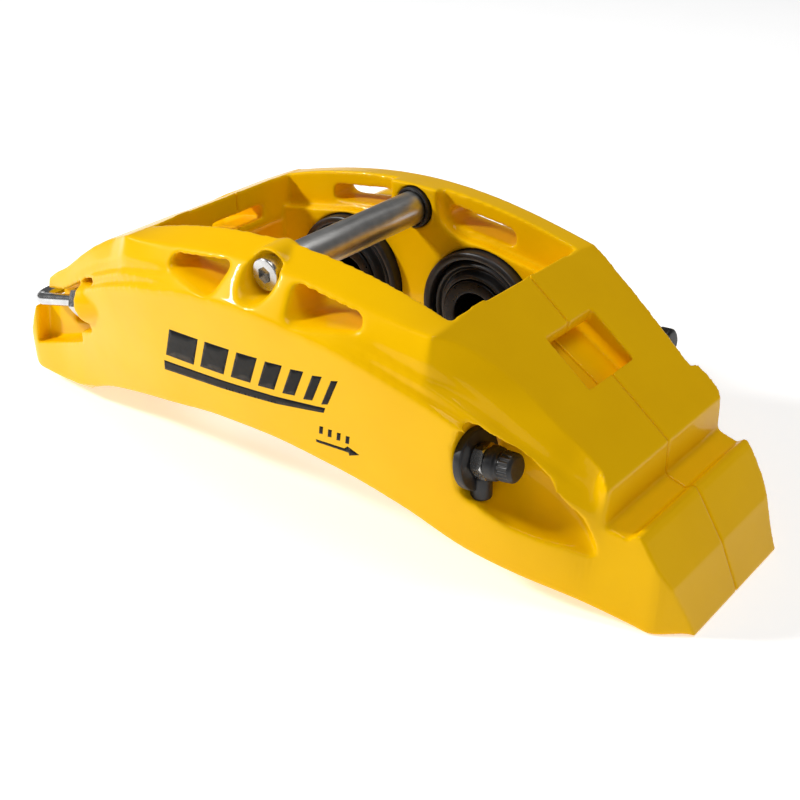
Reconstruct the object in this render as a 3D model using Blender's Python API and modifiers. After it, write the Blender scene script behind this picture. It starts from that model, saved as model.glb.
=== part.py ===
"""Four-piston fixed brake caliper: two bolted body halves, pistons, seals, boots and fluid fittings.

Run with: blender --background --python part.py
Millimetres are used below and turned into metres by MM. The modelling frame has X along the caliper,
Y along the wheel's axle (outboard half on -Y, inboard half on +Y, split plane at Y = 0) and Z outwards
from the wheel's centre, with the feet on Z = 0. X = 0 is the cross bolt's plane. The parent empty
then shifts everything along X, so that the origin is below the middle of the whole caliper.
"""

import math

import bmesh
import bpy
from mathutils import Vector

MM = 0.001

# ---- driving dimensions, in millimetres ----
RIGHT_END, LEFT_END = 145.0, -153.0
SHIFT_X = -(RIGHT_END + LEFT_END) / 2
SPLIT_GAP = 0.15  # from the split plane to each half
FIT_GAP = 0.3  # between pieces that touch

WINDOW_X = 65.0  # pad window, half its length
RIDGE_X = 66.0  # where the crest meets the slopes
CREST_Z, RIDGE_Z = 95.2, 85.3  # top of the flanges at X = 0 and at the ridges
RIGHT_NOTCH_X, LEFT_NOTCH_X = 117.7, -131.0
NOTCH_TOP_Z = 44.6

HOUSING_Y = 23.5  # inner faces of the piston housings
DISC_ARCH_R, DISC_ARCH_Z, DISC_SLOT_Y = 148.4, -64.4, 22.8  # room for the disc, and the axle's height
OUTBOARD_WALL_Y, INBOARD_WALL_Y = 40.0, 27.5  # set-back walls above the housings

PISTON_X, PISTON_Z = 30.0, 54.0
BORE_R, PISTON_R = 20.6, 20.3
BORE_END_Y = 53.5
DOME_END_Y = 61.94  # back of the inboard domes, as far from the split plane as the outboard face
NOSE_R, CUP_R = 13.5, 9.0
PISTON_TIP_Y, PISTON_SHOULDER_Y, PISTON_BACK_Y = 19.2, 28.0, 51.0
CUP_DEPTH = 22.0
BOOT_R, BOOT_GROOVE_R, BOOT_GROOVE_DEPTH = 23.5, 23.8, 4.5
SEAL_Y, SEAL_WIDTH, SEAL_R, SEAL_GROOVE_R = 34.0, 3.4, 23.3, 23.6

PIN_Z = 87.2
SLEEVE_R, SLEEVE_BORE_R = 6.0, 3.5
SLEEVE_ENDS_Y = (-42.2, 28.2)
BOLT_R, BOLT_HEAD_R, BOLT_HEAD_H = 3.0, 5.4, 5.0
BOLT_HEAD_Y = -46.2  # underside of the cross bolt's head
COUNTERBORE_R = 8.6
RING_R = 7.3

BODY_BOLTS = ((-132.0, 13.0), (-99.0, 61.0), (110.0, 42.0), (131.5, 14.0))  # X, Z
BODY_BOLT_R, BODY_BOLT_HEAD_R, BODY_BOLT_HEAD_H = 3.0, 4.9, 6.0
BODY_BOLT_SEAT_Y, BODY_BOLT_TIP_Y = 26.5, -22.0

BLEED_FACE_X = 76.0
BLEED_AT = {"outboard": (-45.0, 45.5, 8.6), "inboard": (46.5, 50.0, 7.0)}  # Y, Z and collar radius
BLEED_TILT = 7.0  # degrees, outer end up
PORT_Y, PORT_Z, PORT_FACE_X = 46.0, 49.3, -100.0
PORT_TILT = 13.0  # degrees, outer end down
PIPE_R, PIPE_FROM, PIPE_RUN, PIPE_BEND_R = 2.4, 3.0, 38.4, 8.0

LUG_X, LUG_Y, LUG_END_Y, LUG_HOLE_R = 87.5, 48.0, 58.0, 5.3
LUG_Z = (10.0, 31.0)

ROUND = 32  # sides of a piston-sized circle
SMALL_ROUND = 20  # sides of a bolt-sized circle

YELLOW = (0.93, 0.55, 0.01)
BLACK = (0.012, 0.012, 0.013)
STEEL = (0.55, 0.55, 0.54)


# ---- scene and materials ----
def clear_scene():
    for obj in list(bpy.data.objects):
        bpy.data.objects.remove(obj, do_unlink=True)


def make_material(name, colour, roughness, metallic):
    material = bpy.data.materials.new(name)
    material.use_nodes = True
    shader = material.node_tree.nodes["Principled BSDF"]
    shader.inputs["Base Color"].default_value = (*colour, 1.0)
    shader.inputs["Roughness"].default_value = roughness
    shader.inputs["Metallic"].default_value = metallic
    material.diffuse_color = (*colour, 1.0)
    return material


def make_collection(name):
    collection = bpy.data.collections.new(name)
    bpy.context.scene.collection.children.link(collection)
    return collection


clear_scene()
PARTS = make_collection("brake_caliper")
CUTTERS = make_collection("cutters")
ORIGIN = bpy.data.objects.new("caliper_origin", None)
ORIGIN.location.x = SHIFT_X * MM
PARTS.objects.link(ORIGIN)


def place(obj, collection=PARTS):
    """Moves an object to its collection and hangs it on the caliper's origin."""
    for old in list(obj.users_collection):
        old.objects.unlink(obj)
    collection.objects.link(obj)
    obj.parent = ORIGIN
    return obj


def as_cutter(obj, group=None):
    place(obj, group or CUTTERS)
    obj.hide_render = True
    obj.display_type = "WIRE"
    return obj


def finish_piece(obj, name, colour, roughness, metallic, smooth_angle=35.0):
    obj.name = name
    obj.data.materials.clear()
    obj.data.materials.append(make_material(name, colour, roughness, metallic))
    if obj.type == "MESH":
        obj.data.shade_smooth()
        obj.data.set_sharp_from_angle(angle=math.radians(smooth_angle))
    return obj


# ---- shapes ----
def mesh_object(name, build):
    """An object whose mesh the function build(bm) fills, in millimetres."""
    bm = bmesh.new()
    build(bm)
    bmesh.ops.scale(bm, vec=(MM, MM, MM), verts=bm.verts)
    bmesh.ops.recalc_face_normals(bm, faces=bm.faces)
    mesh = bpy.data.meshes.new(name)
    bm.to_mesh(mesh)
    bm.free()
    return bpy.data.objects.new(name, mesh)


def loft(name, sections):
    """A closed skin through rings of equally many points."""

    def build(bm):
        rings = [[bm.verts.new(p) for p in section] for section in sections]
        count = len(rings[0])
        for a, b in zip(rings, rings[1:]):
            for i in range(count):
                j = (i + 1) % count
                bm.faces.new((a[i], a[j], b[j], b[i]))
        bm.faces.new(rings[0])
        bm.faces.new(reversed(rings[-1]))
        bmesh.ops.dissolve_limit(bm, angle_limit=math.radians(0.3), verts=bm.verts, edges=bm.edges)
        bmesh.ops.triangulate(bm, faces=bm.faces)

    return mesh_object(name, build)


def plate(name, outline, y_from, y_to):
    """A flat outline of (x, z) points, extruded along Y."""
    curve = bpy.data.curves.new(name, "CURVE")
    curve.dimensions = "2D"
    curve.fill_mode = "BOTH"
    curve.extrude = abs(y_to - y_from) / 2 * MM
    spline = curve.splines.new("POLY")
    spline.points.add(len(outline) - 1)
    for point, (x, z) in zip(spline.points, outline):
        point.co = (x * MM, z * MM, 0.0, 1.0)
    spline.use_cyclic_u = True
    flat = bpy.data.objects.new(name + "_outline", curve)
    PARTS.objects.link(flat)
    flat.rotation_euler = (math.pi / 2, 0.0, 0.0)
    flat.location = (0.0, (y_from + y_to) / 2 * MM, 0.0)
    bpy.context.view_layer.update()
    graph = bpy.context.evaluated_depsgraph_get()
    mesh = bpy.data.meshes.new_from_object(flat.evaluated_get(graph))
    bm = bmesh.new()
    bm.from_mesh(mesh)
    bmesh.ops.remove_doubles(bm, verts=bm.verts, dist=1e-6)
    bmesh.ops.recalc_face_normals(bm, faces=bm.faces)
    bm.to_mesh(mesh)
    bm.free()
    solid = bpy.data.objects.new(name, mesh)
    solid.matrix_world = flat.matrix_world
    bpy.data.objects.remove(flat, do_unlink=True)
    return solid


AXIS_TURN = {
    "+X": (0.0, math.pi / 2, 0.0),
    "-X": (0.0, -math.pi / 2, 0.0),
    "+Y": (-math.pi / 2, 0.0, 0.0),
    "-Y": (math.pi / 2, 0.0, 0.0),
    "+Z": (0.0, 0.0, 0.0),
    "bleed": (0.0, math.pi / 2 - math.radians(BLEED_TILT), 0.0),
    "port": (0.0, -math.pi / 2 - math.radians(PORT_TILT), 0.0),
}


def cylinder(name, axis, start, length, radius, sides=SMALL_ROUND, tip_radius=None):
    """A cylinder or cone frustum that runs from start along axis."""

    def build(bm):
        bmesh.ops.create_cone(
            bm,
            cap_ends=True,
            segments=sides,
            radius1=radius,
            radius2=radius if tip_radius is None else tip_radius,
            depth=length,
        )
        bmesh.ops.translate(bm, vec=(0, 0, length / 2), verts=bm.verts)

    obj = mesh_object(name, build)
    obj.rotation_euler = AXIS_TURN[axis]
    obj.location = Vector(start) * MM
    return obj


def turned(name, axis, start, profile, sides=ROUND, ring=False):
    """A turned solid: (radius, height) points down the outer side, top first, heights along axis."""
    mesh = bpy.data.meshes.new(name)
    bm = bmesh.new()
    points = [bm.verts.new((r * MM, 0.0, h * MM)) for r, h in profile]
    pairs = list(zip(points, points[1:]))
    if ring:
        pairs.append((points[-1], points[0]))
    for a, b in pairs:
        bm.edges.new((a, b))
    bm.to_mesh(mesh)
    bm.free()
    obj = bpy.data.objects.new(name, mesh)
    screw = obj.modifiers.new("turn", "SCREW")
    screw.steps = sides
    screw.render_steps = sides
    screw.use_merge_vertices = True
    screw.merge_threshold = 1e-5
    obj.rotation_euler = AXIS_TURN[axis]
    obj.location = Vector(start) * MM
    return obj


def box(name, low, high):
    def build(bm):
        bmesh.ops.create_cube(bm, size=1.0)
        size = [b - a for a, b in zip(low, high)]
        middle = [(a + b) / 2 for a, b in zip(low, high)]
        bmesh.ops.scale(bm, vec=size, verts=bm.verts)
        bmesh.ops.translate(bm, vec=middle, verts=bm.verts)

    return mesh_object(name, build)


def boolean(target, other, operation="DIFFERENCE"):
    as_cutter(other)
    modifier = target.modifiers.new(other.name, "BOOLEAN")
    modifier.object = other
    modifier.operation = operation
    modifier.solver = "EXACT"


def boolean_all(target, group_name, others, operation="DIFFERENCE"):
    """One Boolean with a whole collection of helpers."""
    group = bpy.data.collections.new(group_name)
    CUTTERS.children.link(group)
    for other in others:
        as_cutter(other, group)
    modifier = target.modifiers.new(group_name, "BOOLEAN")
    modifier.operand_type = "COLLECTION"
    modifier.collection = group
    modifier.operation = operation
    modifier.solver = "EXACT"


def smooth_path(keys, x):
    """Value at x of a smooth curve through the (x, value) keys, flat beyond its ends."""
    if x <= keys[0][0]:
        return keys[0][1]
    if x >= keys[-1][0]:
        return keys[-1][1]
    i = max(k for k in range(len(keys) - 1) if keys[k][0] <= x)

    def slope(k):
        if k == 0 or k == len(keys) - 1:
            return 0.0
        left = (keys[k][1] - keys[k - 1][1]) / (keys[k][0] - keys[k - 1][0])
        right = (keys[k + 1][1] - keys[k][1]) / (keys[k + 1][0] - keys[k][0])
        if left * right <= 0:
            return 0.0
        return 2 * left * right / (left + right)

    (x0, y0), (x1, y1) = keys[i], keys[i + 1]
    width = x1 - x0
    t = (x - x0) / width
    return (
        (2 * t**3 - 3 * t**2 + 1) * y0
        + (t**3 - 2 * t**2 + t) * width * slope(i)
        + (3 * t**2 - 2 * t**3) * y1
        + (t**3 - t**2) * width * slope(i + 1)
    )


# ---- the body's outline, seen along Y ----
RIGHT_SLOPE = (RIDGE_Z - NOTCH_TOP_Z) / (RIGHT_NOTCH_X - RIDGE_X)
LEFT_SHOULDER = (
    (-131, 46), (-129, 50.5), (-124, 54), (-115, 58.8), (-104, 66.6), (-95, 72.3), (-86, 77.0),
    (-73, 82.6), (-66, RIDGE_Z),
)
ARCH = (
    (-153, 9), (-152.4, 5), (-150.5, 1.6), (-147, 0), (-131, 0), (-122, 1.6), (-112, 7.2), (-96, 14.2),
    (-74, 19.8), (-50, 24.4), (-25, 28.2), (0, 29.5),
    (26, 27.2), (53, 21.6), (76, 12.9), (93, 9.1), (111, 6.1), (128, 1.6), (134.2, 0), (145, 0),
)


LOWER_EDGE_X = (
    -153, -152.4, -150.5, -147, -139, -131, -122, -112, -104, -96, -85, -74, -62, -50, -37, -25, -12, 0,
    13, 26, 40, 53, 64, 76, 84, 93, 102, 111, 120, 128, 134.2,
)


def top_z(x):
    """Height of the crest, of the right slope or of the left shoulder."""
    if abs(x) <= RIDGE_X:
        return CREST_Z - (CREST_Z - RIDGE_Z) * (x / RIDGE_X) ** 2
    if x > 0:
        return RIDGE_Z - RIGHT_SLOPE * (x - RIDGE_X)
    return smooth_path(LEFT_SHOULDER, x)


def arch_z(x):
    return smooth_path(ARCH, x)


def side_outline():
    """The body seen along Y. Above the window it is left open, because the skins shape the crest."""
    right = [
        (145, 0.0), (145, 0.6), (138.5, 15.9), (129.6, 30.4), (128.2, 32.0), (126.6, 32.2),
        (124.8, 30.4), (118.6, 32.2),
        (RIGHT_NOTCH_X, 33.4), (RIGHT_NOTCH_X, NOTCH_TOP_Z), (RIDGE_X, RIDGE_Z),
    ]
    over = [(64.5, 87), (60, 130), (-60, 130), (-64.5, 87)]
    left = list(reversed(LEFT_SHOULDER))
    left += [(LEFT_NOTCH_X, 38.0), (-132, 36.8), (-141, 36), (-143.5, 34.5)]
    left += [(-146.5, 28.5), (-150.6, 20), (-153, 12)]
    return right + over + left + [(x, arch_z(x)) for x in LOWER_EDGE_X]


# ---- rails of the two skins: (x, value) keys ----
OUT_FOOT_Y = (
    (-153, -38.5), (-151, -41), (-147, -42.4), (-125, -43.6), (-112, -44.6), (-98, -46.4), (-75, -49.4),
    (-50, -52), (0, -54),
    (50, -51.5), (76, -47.9), (93, -44.9), (111, -41), (128, -36.6), (134.2, -35), (145, -27.8),
)
OUT_BROW_Y = (
    (-153, -38.5), (-151, -41), (-147, -42.4), (-129, -43.8), (-115, -47), (-101, -50.6), (-89, -53.4),
    (-75, -56.1), (-50, -59.4), (0, -62),
    (41, -60.2), (66, -57.3), (80, -54.8), (90, -51.6), (100, -46.8), (108, -42.4), (117.7, -36.2),
    (129, -33.8), (134.2, -32.8), (145, -27.8),
)
OUT_BROW_Z = (
    (-150, 30), (-129, 40), (-115, 47), (-101, 54.4), (-89, 60), (-75, 65.6), (-50, 72.8), (0, 79),
    (41, 74.2), (66, 66.4), (80, 60.4), (90, 55), (100, 48.3), (108, 41.5), (117.7, 35), (145, 34.5),
)
OUT_EDGE_Y = (
    (-153, -38.5), (-151, -41), (-147, -42.4), (-129, -43.4), (-115, -44.6), (-95, -45.2), (-81, -46.4),
    (-73, -48.6), (-66, -50.9),
    (66, -50.9), (69, -47.2), (73.5, -42.3), (81, -38), (90, -35.3), (100, -33.9), (107, -32.2),
    (112.5, -31.8), (117.7, -35.9),
    (129, -33.6), (134.2, -32.4), (145, -27.8),
)
IN_FOOT_Y = (
    (-153, 30), (-149, 34.5), (-125, 36), (-103, 35), (-88, 36), (-74, 38), (-60, 43.5), (0, 45), (60, 43.5),
    (74, 38), (85, 36), (103, 34.5), (118, 35), (129, 35), (134.2, 34.4), (145, 27.8),
)
IN_BROW_Z = (
    (-150, 30), (-129, 40), (-100, 52), (-80, 60), (-60, 66), (0, 70), (60, 66), (80, 60), (100, 50),
    (117.7, 36), (145, 34),
)
IN_EDGE_Y = (
    (-153, 30), (-149, 34.5), (-125, 36), (-85, 36), (-65, 36.6), (0, 38.6), (65, 36.6), (85, 35.7),
    (93, 34.8), (103, 33.5), (106, 33),
    (108, 36.4), (112, 37), (115.5, 36.4), (118.2, 34.3), (129, 33.8), (134.2, 33), (145, 27.8),
)
UNDERCUT = ((-128, 6.2), (-121, 5.0), (-112, 2.0), (-104, 0.8))  # height of the outboard skin's lower bevel
STATIONS = (
    -156, -153.4, -151, -147.2, -140, -131.6, -122, -115, -108, -101, -94, -87, -80, -73, -66,
    -57, -49, -41, -31, -21, -10, 0, 10, 21, 31, 41, 49, 57,
    66, 69, 73.5, 81, 85.5, 90, 95, 100, 104, 108, 112.5, 118.2, 123, 129, 134.2, 139.5, 145, 148,
)
TOP_MARGIN = 6.0  # how far the skins run past the ends' outline


def skin_top(x):
    """Height of the flange's edge. Past the notches the skin runs on above the outline, which cuts it."""
    if x > RIGHT_NOTCH_X or x < LEFT_NOTCH_X:
        return NOTCH_TOP_Z
    return top_z(x)


def over_the_top(x, before, edge, crest_y, side):
    """The flange's top: on the crest it climbs from the edge to crest_y, elsewhere the outline cuts it."""
    if abs(x) > RIDGE_X:
        beyond = Vector(edge) + (Vector(edge) - Vector(before)).normalized() * 2.5
        y, z = beyond
        return [(y, z), (y - side * 4.0, z + TOP_MARGIN), (side * SPLIT_GAP, z + TOP_MARGIN)]
    rise = (top_z(x) - edge[1]) / abs(edge[0] - crest_y)
    inner = abs(crest_y) - 10.0
    return [edge, (side * inner, top_z(x) + rise * 10.0), (side * SPLIT_GAP, top_z(x) + TOP_MARGIN)]


def outboard_section(x):
    low = arch_z(x) - 4.0
    foot_y = smooth_path(OUT_FOOT_Y, x)
    brow = (smooth_path(OUT_BROW_Y, x), smooth_path(OUT_BROW_Z, x))
    edge = (smooth_path(OUT_EDGE_Y, x), skin_top(x) - crest_drop(x, 4.2))
    foot_z = arch_z(x)
    lean = (brow[0] - foot_y) / max(brow[1] - foot_z, 1.0)
    high = smooth_path(UNDERCUT, x)
    middle = (foot_y + lean * high, foot_z + high)
    points = [(-SPLIT_GAP, low), (foot_y + 1.3 * (high + 4.0), low), middle, brow]
    points += flutes(x, brow, edge)
    points += over_the_top(x, points[-1], edge, -40.5, -1)
    return [(x, y, z) for y, z in points]


def crest_drop(x, most):
    """How far the flange's edge lies below its crest: nothing at the ridges and beyond."""
    if abs(x) > RIDGE_X:
        return 0.0
    return 0.4 + most * (1 - (abs(x) / RIDGE_X) ** 5)


def flutes(x, brow, edge):
    """The two long channels between the face's brow and the flange's edge, which fade out at both ends."""
    depth = 1.6 * min(1.0, max(0.0, (abs(x) - 36) / 14)) * min(1.0, max(0.0, (118 - abs(x)) / 30))
    across = Vector((edge[0] - brow[0], edge[1] - brow[1]))
    inward = Vector((across.y, -across.x)).normalized()
    cuts = ((0.10, 1.0), (0.24, 0.0), (0.38, 0.8), (0.54, 0.0))
    places = [Vector(brow) + across * t + inward * depth * share for t, share in cuts]
    return [(p.x, p.y) for p in places]


def inboard_section(x):
    low = arch_z(x) - 4.0
    foot_y = smooth_path(IN_FOOT_Y, x)
    brow = (foot_y, smooth_path(IN_BROW_Z, x))
    edge = (smooth_path(IN_EDGE_Y, x), skin_top(x) - crest_drop(x, 0.8))
    points = [(SPLIT_GAP, low), (foot_y, low), brow] + over_the_top(x, brow, edge, 27.5, 1)
    return [(x, y, z) for y, z in points]


def rounded(outline, radius, steps=3):
    """The outline with its corners rounded."""
    result = []
    for i, corner in enumerate(outline):
        here = Vector(corner)
        before, after = Vector(outline[i - 1]), Vector(outline[(i + 1) % len(outline)])
        start = here + (before - here).normalized() * radius
        end = here + (after - here).normalized() * radius
        for k in range(steps + 1):
            t = k / steps
            result.append(tuple(start * (1 - t) ** 2 + here * 2 * t * (1 - t) + end * t**2))
    return result


# ---- cuts that both halves share; side is -1 outboard and +1 inboard ----
def along(side):
    return "+Y" if side > 0 else "-Y"


def window_and_disc(tag, side):
    inner = -1.0 * side
    ends = rounded([(-WINDOW_X, 20), (WINDOW_X, 20), (WINDOW_X, 130), (-WINDOW_X, 130)], 0.5, 1)
    window = plate(f"{tag}_window", ends, *sorted((inner, side * HOUSING_Y)))
    start = (0, inner, DISC_ARCH_Z)
    return [window, cylinder(f"{tag}_disc_room", along(side), start, DISC_SLOT_Y + 1.0, DISC_ARCH_R, 96)]


def recess_outline(mirror):
    """Set-back wall beside the pin boss, down to the ledge above the piston."""
    end = WINDOW_X - FIT_GAP
    points = [
        (10.5, 130), (10.5, 89), (12, 84.5), (16, 81.3), (22, 79.8), (31, 79.2), (end, 73.6), (end, 130),
    ]
    return [(x * mirror, z) for x, z in points]


def slots(tag, side):
    corners = [(15.3, 89.0), (40.8, 85.0), (40.2, 80.0), (16.8, 79.2)]
    found = []
    for mirror, name in ((1, "right"), (-1, "left")):
        outline = rounded([(x * mirror, z) for x, z in corners], 2.2)
        found.append(plate(f"{tag}_{name}_slot", outline, *sorted((side * 24.0, side * 70.0))))
    return found


def piston_bores(tag, side):
    depths = (
        ("bore", BORE_R, HOUSING_Y - 2, BORE_END_Y),
        ("boot_groove", BOOT_GROOVE_R, HOUSING_Y - 2, HOUSING_Y + BOOT_GROOVE_DEPTH),
        ("seal_groove", SEAL_GROOVE_R, SEAL_Y - SEAL_WIDTH / 2 - FIT_GAP, SEAL_Y + SEAL_WIDTH / 2 + FIT_GAP),
    )
    found = []
    for mirror, name in ((1, "right"), (-1, "left")):
        for what, radius, near, far in depths:
            start = (mirror * PISTON_X, side * near, PISTON_Z)
            found.append(cylinder(f"{tag}_{name}_{what}", along(side), start, far - near, radius, ROUND))
    return found


def square_passages(tag, side):
    """The square pocket in each bridge, which turns and opens in the window's end wall."""
    across = sorted((side * -1.0, side * 12.9))
    right = [
        (80.3, 76.2), (97.0, 63.3), (92.6, 57.6), (86, 61.6), (76, 68.6), (64, 72.3), (64, 78.0),
        (72, 75.8), (76.5, 72.4),
    ]
    left = [
        (-76, 83.5), (-94.5, 75.8), (-91.5, 66.5), (-84, 67.6), (-76, 70.4), (-64, 72.3), (-64, 78.0),
        (-70, 76.6), (-74, 76.4),
    ]
    return [plate(f"{tag}_right_passage", right, *across), plate(f"{tag}_left_passage", left, *across)]


def body_bolt_holes(tag, side):
    found = []
    for index, (x, z) in enumerate(BODY_BOLTS):
        start = (x, -2, z) if side > 0 else (x, BODY_BOLT_TIP_Y - 2, z)
        found.append(cylinder(f"{tag}_bolt_hole_{index}", "+Y", start, 40, BODY_BOLT_R + FIT_GAP, 16))
        if side > 0:
            seat = (x, BODY_BOLT_SEAT_Y, z)
            found.append(cylinder(f"{tag}_bolt_seat_{index}", "+Y", seat, 40, BODY_BOLT_HEAD_R + 0.4, 16))
    return found


def side_ports(tag, side):
    bleed = fitting_point("bleed", (BLEED_FACE_X, *BLEED_AT[tag][:2]), -14)
    port = fitting_point("port", (PORT_FACE_X, side * PORT_Y, PORT_Z), -14)
    return [
        cylinder(f"{tag}_bleed_hole", "bleed", bleed, 18, 3.6, SMALL_ROUND),
        cylinder(f"{tag}_port_hole", "port", port, 18, 5.1, SMALL_ROUND),
    ]


def fitting_point(axis, face, out):
    """The point this far out of a fitting's face, along the fitting's axis."""
    if axis == "bleed":
        tilt = math.radians(BLEED_TILT)
        return (face[0] + out * math.cos(tilt), face[1], face[2] + out * math.sin(tilt))
    tilt = math.radians(PORT_TILT)
    return (face[0] - out * math.cos(tilt), face[1], face[2] - out * math.sin(tilt))


def scoop(name):
    """The long hollow below the outboard bleed screw: ellipses that shrink along the body."""
    rings = (
        (76, -46, 46, 10.5, 10.3), (80, -46, 47.2, 13.5, 13.8), (85, -46, 45.2, 13.5, 14.4),
        (90, -46, 42.8, 13, 14.6),
        (95, -45.5, 41, 12.5, 14.2), (99.5, -44.5, 38.2, 11.5, 12.6), (103.4, -43.7, 35.6, 10, 10.6),
        (107.6, -42.8, 32.2, 8.5, 7.9),
        (111.6, -41.8, 29.2, 6.5, 6.2), (115, -40.6, 25.2, 4, 3.4), (117.2, -40, 23.5, 2, 1),
    )
    sides = 20
    sections = []
    for x, y, z, wide, high in rings:
        turn = [2 * math.pi * k / sides for k in range(sides)]
        sections.append([(x, y + wide * math.cos(a), z + high * math.sin(a)) for a in turn])
    return loft(name, sections)


def outboard_half():
    half = place(loft("outboard_half", [outboard_section(x) for x in STATIONS]))
    tag, side = "outboard", -1
    boolean(half, plate("outboard_side", side_outline(), -80, 10), "INTERSECT")
    end = WINDOW_X - FIT_GAP
    wall = [(-end, 73.6), (-31, 79.2), (31, 79.2), (end, 73.6), (end, 130), (-end, 130)]
    rooms = window_and_disc(tag, side) + square_passages(tag, side)
    rooms.append(plate("outboard_wall_recess", wall, -OUTBOARD_WALL_Y, -10))
    pocket = [
        (-98.5, 38), (-108.3, 35), (-108.8, 30.4), (-122, 25.4), (-145.6, 17.5), (-142.3, 33),
        (-141.5, 38), (-134, 41.5),
        (-133, 45), (-118, 49), (-108, 54.4), (-98, 60), (-90, 63), (-92, 60), (-98.5, 57),
    ]
    rooms.append(plate("outboard_port_pocket", rounded(pocket, 0.8, 1), -80, -36.5))
    hollow = rounded([(-103, 38), (-103, 47), (-122, 44), (-127, 30), (-113, 33)], 3.0)
    rooms.append(plate("outboard_port_hollow", hollow, -45, -31.5))
    boolean_all(half, "outboard_rooms", rooms)
    bosses = [cylinder("outboard_pin_boss", "-Y", (0, -38.3, PIN_Z), 8, 8.6, ROUND)]
    ear = fitting_point("port", (PORT_FACE_X, -PORT_Y, PORT_Z), -26)
    bosses.append(cylinder("outboard_port_ear", "port", ear, 26, 4.0, ROUND, 8.6))
    boolean_all(half, "outboard_bosses", bosses, "UNION")
    cuts = slots(tag, side) + piston_bores(tag, side) + body_bolt_holes(tag, side) + side_ports(tag, side)
    sleeve_end = (0, SLEEVE_ENDS_Y[0] - FIT_GAP, PIN_Z)
    cuts.append(cylinder("outboard_sleeve_seat", "+Y", sleeve_end, 6, SLEEVE_R + FIT_GAP, ROUND))
    cuts.append(cylinder("outboard_ring_seat", "+Y", (0, -41.0, PIN_Z), 6, RING_R + FIT_GAP, ROUND))
    cuts.append(cylinder("outboard_pin_hole", "+Y", (0, -70, PIN_Z), 40, BOLT_R + FIT_GAP, SMALL_ROUND))
    counterbore = (0, BOLT_HEAD_Y + FIT_GAP, PIN_Z)
    flare = COUNTERBORE_R + 1.5
    cuts.append(cylinder("outboard_counterbore", "-Y", counterbore, 30, COUNTERBORE_R, ROUND, flare))
    cuts.append(scoop("outboard_scoop"))
    bleed_face = (BLEED_FACE_X, *BLEED_AT[tag][:2])
    cuts.append(cylinder("outboard_bleed_seat", "bleed", bleed_face, 8, BLEED_AT[tag][2] + 0.6, ROUND))
    boolean_all(half, "outboard_cuts", cuts)
    return finish_piece(half, "outboard_half", YELLOW, 0.2, 0.0)


def inboard_half():
    half = place(loft("inboard_half", [inboard_section(x) for x in STATIONS]))
    tag, side = "inboard", 1
    bleed_ear = fitting_point("bleed", (BLEED_FACE_X, *BLEED_AT[tag][:2]), -26)
    port_ear = fitting_point("port", (PORT_FACE_X, PORT_Y, PORT_Z), -50)
    boolean(half, plate("inboard_side", side_outline(), -10, 80), "INTERSECT")
    bosses = [
        box("inboard_inlet_block", (-12, 40, 44), (12, 60, 67)),
        cylinder("inboard_port_ear", "port", port_ear, 50, 9, SMALL_ROUND),
        cylinder("inboard_bleed_ear", "bleed", bleed_ear, 26, 8.6, SMALL_ROUND),
    ]
    lug_corners = [(-9.0, LUG_Z[0]), (-9.0, LUG_Z[1]), (9.0, LUG_Z[1]), (9.0, LUG_Z[0])]
    for mirror, name in ((1, "right"), (-1, "left")):
        dome_profile = [(0, DOME_END_Y), (19.5, DOME_END_Y), (22.5, 60.8), (24.6, 57.5), (24.6, 38.5), (0, 38.5)]
        bosses.append(turned(f"inboard_{name}_dome", "+Y", (mirror * PISTON_X, 0, PISTON_Z), dome_profile))
        lug = rounded([(mirror * (LUG_X + dx), z) for dx, z in lug_corners], 2.0, 2)
        bosses.append(plate(f"inboard_{name}_lug", lug, 30, LUG_END_Y))
    boolean_all(half, "inboard_bosses", bosses, "UNION")
    cuts = window_and_disc(tag, side) + square_passages(tag, side)
    for mirror, name in ((1, "right"), (-1, "left")):
        cuts.append(plate(f"inboard_{name}_recess", recess_outline(mirror), 10, INBOARD_WALL_Y))
        lug_at = (mirror * LUG_X, LUG_Y, 0)
        cuts.append(cylinder(f"inboard_{name}_lug_hole", "+Z", lug_at, 45, LUG_HOLE_R, SMALL_ROUND))
    cuts += slots(tag, side) + piston_bores(tag, side) + body_bolt_holes(tag, side) + side_ports(tag, side)
    sleeve_end = (0, SLEEVE_ENDS_Y[1] + FIT_GAP, PIN_Z)
    ring_end = (0, HOUSING_Y + 2.9, PIN_Z)
    cuts.append(cylinder("inboard_sleeve_seat", "-Y", sleeve_end, 12, SLEEVE_R + FIT_GAP, ROUND))
    cuts.append(cylinder("inboard_ring_seat", "-Y", ring_end, 12, RING_R + FIT_GAP, ROUND))
    cuts.append(cylinder("inboard_pin_thread", "+Y", (0, 20, PIN_Z), 40, BOLT_R + FIT_GAP, SMALL_ROUND))
    cuts.append(cylinder("inboard_inlet_hole", "-Y", (0, 66, 55.5), 16, 4.4, SMALL_ROUND))
    boolean_all(half, "inboard_cuts", cuts)
    return finish_piece(half, "inboard_half", YELLOW, 0.2, 0.0)


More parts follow.
